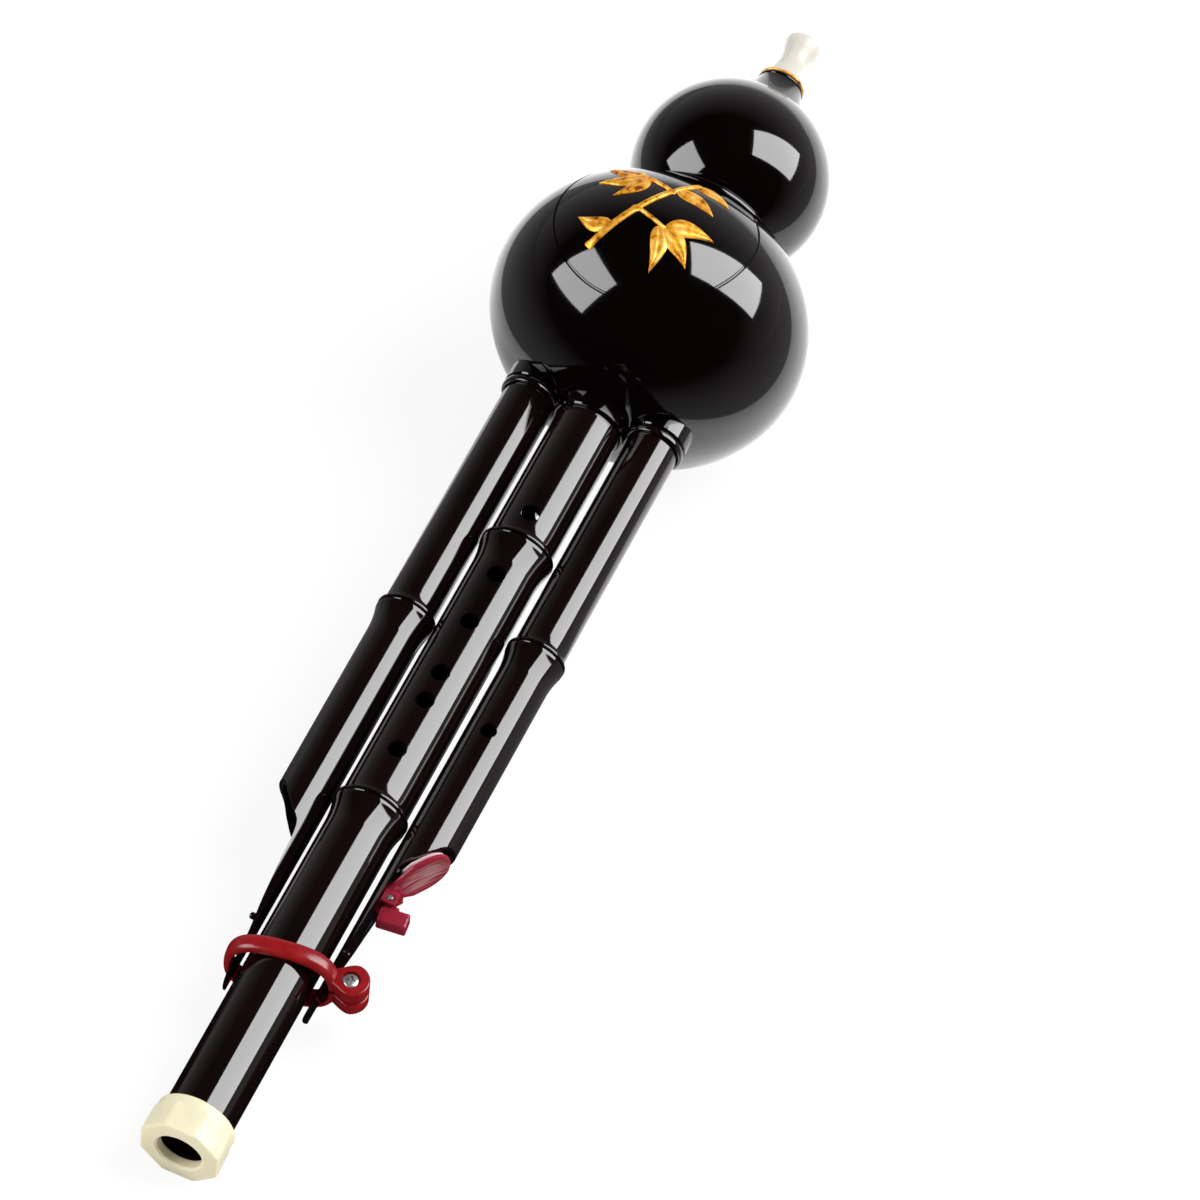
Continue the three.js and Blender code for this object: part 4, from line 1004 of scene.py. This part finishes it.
# The leaf's dish is paler in its middle, in fine streaks along it
place = add_node(tree, "ShaderNodeTexCoord")
from_middle = add_node(tree, "ShaderNodeVectorMath", {0: place.outputs["Object"], 1: leaf_middle},
                       operation="SUBTRACT")
lengthways = add_node(tree, "ShaderNodeVectorMath", {0: from_middle.outputs[0], 1: leaf_way},
                      operation="DOT_PRODUCT")
crossways = add_node(tree, "ShaderNodeVectorMath", {0: from_middle.outputs[0], 1: front},
                     operation="DOT_PRODUCT")
drawn = add_node(tree, "ShaderNodeCombineXYZ", {
    "X": lengthways.outputs["Value"], "Y": crossways.outputs["Value"]})
long_grain = add_node(tree, "ShaderNodeMapping", {"Vector": drawn.outputs[0], "Scale": (90, 1500, 1)})
streak = add_node(tree, "ShaderNodeTexNoise", {"Vector": long_grain.outputs[0], "Scale": 1.0, "Detail": 3})
oval = add_node(tree, "ShaderNodeMapping", {"Vector": drawn.outputs[0], "Scale": (1 / 0.0088, 1 / 0.0062, 1)})
far = add_node(tree, "ShaderNodeVectorMath", {0: oval.outputs[0]}, operation="LENGTH")
# Paler towards the middle of the dish
pale_middle = add_node(tree, "ShaderNodeMapRange", {
    "Value": far.outputs["Value"], "From Min": 1.0, "From Max": 0.55, "To Min": 0.0, "To Max": 1.0})
paleness = add_node(tree, "ShaderNodeMapRange", {
    "Value": streak.outputs["Fac"], "From Min": 0.38, "From Max": 0.62})
amount = add_node(tree, "ShaderNodeMath", {0: pale_middle.outputs[0], 1: paleness.outputs[0]},
                  operation="MULTIPLY")
pale_streaked_tint = add_node(tree, "ShaderNodeMix", {"Factor": amount.outputs[0], 6: tone.outputs[2]}, data_type="RGBA")
pale_streaked_tint.inputs[7].default_value = linear("#a58380")
skin = add_node(tree, "ShaderNodeBump", {
    "Height": grain.outputs["Fac"], "Strength": 0.3, "Distance": 0.00006})
crimson_shader = add_node(tree, "ShaderNodeBsdfPrincipled", {
    "Base Color": pale_streaked_tint.outputs[2], "Roughness": 0.26, "IOR": 1.5, "Normal": skin.outputs[0],
    "Subsurface Weight": 0.3, "Subsurface Radius": (1.0, 0.35, 0.4), "Subsurface Scale": 0.003})
add_node(tree, "ShaderNodeOutputMaterial", {"Surface": crimson_shader.outputs[0]})

hub_radius = 1.9
hub_half = 2.6
pin_radius = 0.8
leaf_length = 21.5
leaf_width = 14.8
leaf_thickness = 1.8
leaf_lift = 3.6
leaf_seat = Matrix.Translation((pivot_x, pivot_station, drone_depth)) @ Matrix.Rotation(leaf_angle, 4, "Z") \
    @ Matrix.Rotation(-math.pi / 2, 4, "X")


def leaf_half(t):
    """Half the leaf's width at a share of its length: narrow at the hub, broad and round at the end."""
    neck = min(1.0, 0.24 + 1.5 * t ** 0.9)
    round_end = math.sqrt(max(0.0, 1 - max(0.0, (t - 0.62) / 0.38) ** 2.4))
    return leaf_width / 2 * neck * round_end


def leaf_mesh(name, low_height, high_height, dish, start=0.0, shrink=0.0):
    """A plate with the leaf's outline and rounded rim, its lower face hollowed by the dish."""
    shape = bmesh.new()
    rows, across_steps = 44, 20
    top, bottom = [], []
    for i in range(rows + 1):
        t = start + (1 - start) * (0.5 - 0.5 * math.cos(math.pi * i / rows))
        half_width = max(0.05, leaf_half(t) - shrink)
        row_top, row_bottom = [], []
        for k in range(across_steps + 1):
            u = math.sin(math.pi / 2 * (2 * k / across_steps - 1))
            rim = 1 - max(abs(u) ** 8, max(0.0, (t - 0.86) / 0.14) ** 3)
            edge_fall = 0.35 * (high_height - low_height) * (1 - rim)
            hollow = max(0.0, 1 - (abs(u) / 0.86) ** 4) * max(0.0, 1 - abs((t - start - 0.56) / 0.42) ** 4)
            x, y = leaf_length * t, u * half_width
            row_top.append(shape.verts.new((x, y, high_height - edge_fall)))
            row_bottom.append(shape.verts.new((x, y, low_height + edge_fall + dish * hollow)))
        top.append(row_top)
        bottom.append(row_bottom)
    close_plate(shape, top, bottom)
    return new_piece(name, shape, leaf_seat)


base = leaf_lift - leaf_thickness / 2
key = leaf_mesh("drone_key_leaf", base, base + leaf_thickness, 0.8)
arm_length, arm_half = 4.3, 2.3
arm_outline = [(0, -arm_half), (arm_length, -arm_half), (arm_length, arm_half), (0, arm_half)]
arm = slab("tool", arm_outline, 0, leaf_lift, leaf_seat)
hub = front_rod("tool", hub_radius, pivot_x, pivot_station, drone_depth - hub_half, drone_depth + hub_half)
touch_low, touch_high = -1.6, 2.8
touch_half_length, touch_half_width = 4.4, 2.45
web = box_piece("tool", (pivot_x - 0.7, pivot_station - 4.5, drone_depth - 1.6),
                (pivot_x + 1.6, pivot_station, drone_depth + 2.55))
touch_seat = Matrix.Translation((pivot_x + 2.8, pivot_station - 4.45, drone_depth)) \
    @ Matrix.Rotation(math.radians(6), 4, "Z")
touch = slab("tool", [(along_touch * touch_half_length, over_touch * touch_half_width)
                      for along_touch, over_touch in ((-0.93, -1), (1, -1), (1, 1), (-0.93, 1))],
             touch_low, touch_high, touch_seat)
rounded_edges(touch, 0.6, 4)
combine(key, [arm, hub, web, touch], "UNION")
combine(key, [front_rod("cut", pin_radius + 0.15, pivot_x, pivot_station, -9, 9)], "DIFFERENCE")
dress(key, crimson, "crimson_key", "key", "drone_key", angle=40)

bracket_half = hub_half + 0.3 + 1.2
foot_top = pivot_x - hub_radius - 0.3
cheek_low, cheek_high = pivot_station - 1.7, pivot_station + 2.1
bracket = box_piece("key_bracket_foot", (drone_spacing - drone_bore, cheek_low, drone_depth - bracket_half),
                    (foot_top, pivot_station + 0.9, drone_depth + bracket_half))
cheeks = [box_piece("tool", (drone_spacing - drone_bore, cheek_low, drone_depth + low),
                    (pivot_x + 2.1, cheek_high, drone_depth + low + 1.2))
          for low in (-bracket_half, bracket_half - 1.2)]
combine(bracket, cheeks, "UNION")
combine(bracket, [plug_mesh(drone_bore - 0.3, 80, 110, (drone_spacing, drone_depth))], "INTERSECT")
combine(bracket, [front_rod("cut", pin_radius + 0.3, pivot_x, pivot_station, -12, 12)], "DIFFERENCE")
rounded_edges(bracket, 0.15, 2)
dress(bracket, crimson, "crimson_key", "flute", "key_bracket", angle=40)

pin = front_turn("key_pin_rod", [
    (0, drone_depth - bracket_half - 0.3), (pin_radius - 0.2, drone_depth - bracket_half - 0.3),
    (pin_radius, drone_depth - bracket_half - 0.1), (pin_radius, drone_depth + bracket_half + 0.1),
    (pin_radius - 0.2, drone_depth + bracket_half + 0.3), (0, drone_depth + bracket_half + 0.3)],
    pivot_x, pivot_station, 32)
dress(pin, zinc, "zinc_screw", "flute", "key_pin")


# Key pad: a soft translucent silicone disc under the leaf, pink from the plastic behind it.
silicone, tree = new_finish("pink_translucent_silicone")
tone = grainy_tone(tree, 240, 2, "#f0c9cc", "#e4a6ae")[1]
silicone_shader = add_node(tree, "ShaderNodeBsdfPrincipled", {
    "Base Color": tone.outputs[2], "Roughness": 0.38, "IOR": 1.42, "Subsurface Weight": 0.6,
    "Subsurface Radius": (1.0, 0.5, 0.5), "Subsurface Scale": 0.003})
add_node(tree, "ShaderNodeOutputMaterial", {"Surface": silicone_shader.outputs[0]})
pad_low = leaf_lift + leaf_thickness / 2 + 0.3
pad = leaf_mesh("key_pad_disc", pad_low, pad_low + 1.3, 0.0, start=0.34, shrink=1.5)
dress(pad, silicone, "key_pad", "key", "key_pad", angle=50)


# Head plugs and reeds, inside the gourd: each pipe's upper end is stopped, and a brass reed lies on
# the flat beside it, its tongue freed by a slit on three sides. Rolled brass, with faint drawn lines.
brass, tree = new_finish("rolled_brass")
place = add_node(tree, "ShaderNodeTexCoord")
stretch = add_node(tree, "ShaderNodeMapping", {"Vector": place.outputs["Object"], "Scale": (2500, 60, 2500)})
lines = add_node(tree, "ShaderNodeTexNoise", {"Vector": stretch.outputs[0], "Scale": 1.0, "Detail": 2})
tone = add_node(tree, "ShaderNodeMix", {"Factor": lines.outputs["Fac"]}, data_type="RGBA")
tone.inputs[6].default_value = linear("#b98d3e")
tone.inputs[7].default_value = linear("#dcb968")
grip = add_node(tree, "ShaderNodeMapRange", {"Value": lines.outputs["Fac"], "To Min": 0.25, "To Max": 0.45})
brass_shader = add_node(tree, "ShaderNodeBsdfPrincipled", {
    "Base Color": tone.outputs[2], "Metallic": 1.0, "Roughness": grip.outputs[0]})
add_node(tree, "ShaderNodeOutputMaterial", {"Surface": brass_shader.outputs[0]})

tongue_half = 1.3
for label, x, z, radius, bore in (("main", 0, 0, main_head, main_bore),
                                  ("left", -drone_spacing, drone_depth, drone_radius, drone_bore),
                                  ("right", drone_spacing, drone_depth, drone_radius, drone_bore)):
    stopper = turn_mesh(f"{label}_head_stopper", [
        (0, head_station - 3), (bore - 0.6, head_station - 3), (bore - 0.3, head_station - 2.7),
        (bore - 0.3, head_station + 0.3), (radius - 0.3, head_station + 0.3), (radius, head_station + 0.6),
        (radius, head_station + 1.1), (radius - 0.4, head_station + 1.5), (0, head_station + 1.5)], 64, (x, z),
        closed=False)
    dress(stopper, pipe_lacquer, "black_pipes", "flute", f"{label}_plug")
    low = z + radius - 1.5 + 0.3
    reed = box_piece(f"{label}_reed_plate", (x - 3, reed_low, low),
                     (x + 3, reed_low + reed_length, low + 0.5))
    tip = tongue_root + tongue_length
    slits = [box_piece("cut", (x + left_edge, start, low - 1), (x + right_edge, tip, low + 2))
             for left_edge, right_edge, start in (
                 (-slit_half, -tongue_half, tongue_root), (tongue_half, slit_half, tongue_root),
                 (-slit_half, slit_half, tip - 0.3))]
    combine(reed, slits, "DIFFERENCE")
    dress(reed, brass, "brass_reed", "flute", f"{label}_reed")


# Studs: small domed pins that stand in the tails' troughs above the clamp.
stud_station = 75.5
stud_lift = 2.7
stud_radius = 1.0
stud_foot = 6.1
stud_dome = 0.7
stud_length = 2.1
dome = [(stud_radius * math.cos(t), stud_length - stud_dome + stud_dome * math.sin(t))
        for t in arc(0, 0.5, 8)[:-1]]
stud_line = [(0, 0), (stud_radius, 0), *dome, (0, stud_length)]
for side, label in ((-1, "left"), (1, "right")):
    stud = turn_mesh(f"{label}_tail_stud", stud_line, 32, closed=False)
    lie = Matrix.Translation((side * (drone_spacing - stud_foot), stud_station, drone_depth + stud_lift)) \
        @ Matrix.Rotation(-side * math.pi / 2, 4, "Z")
    stud.data.transform(seat @ lie @ seat.inverted())
    dress(stud, pipe_lacquer, "black_pipes", "flute", f"{label}_stud")
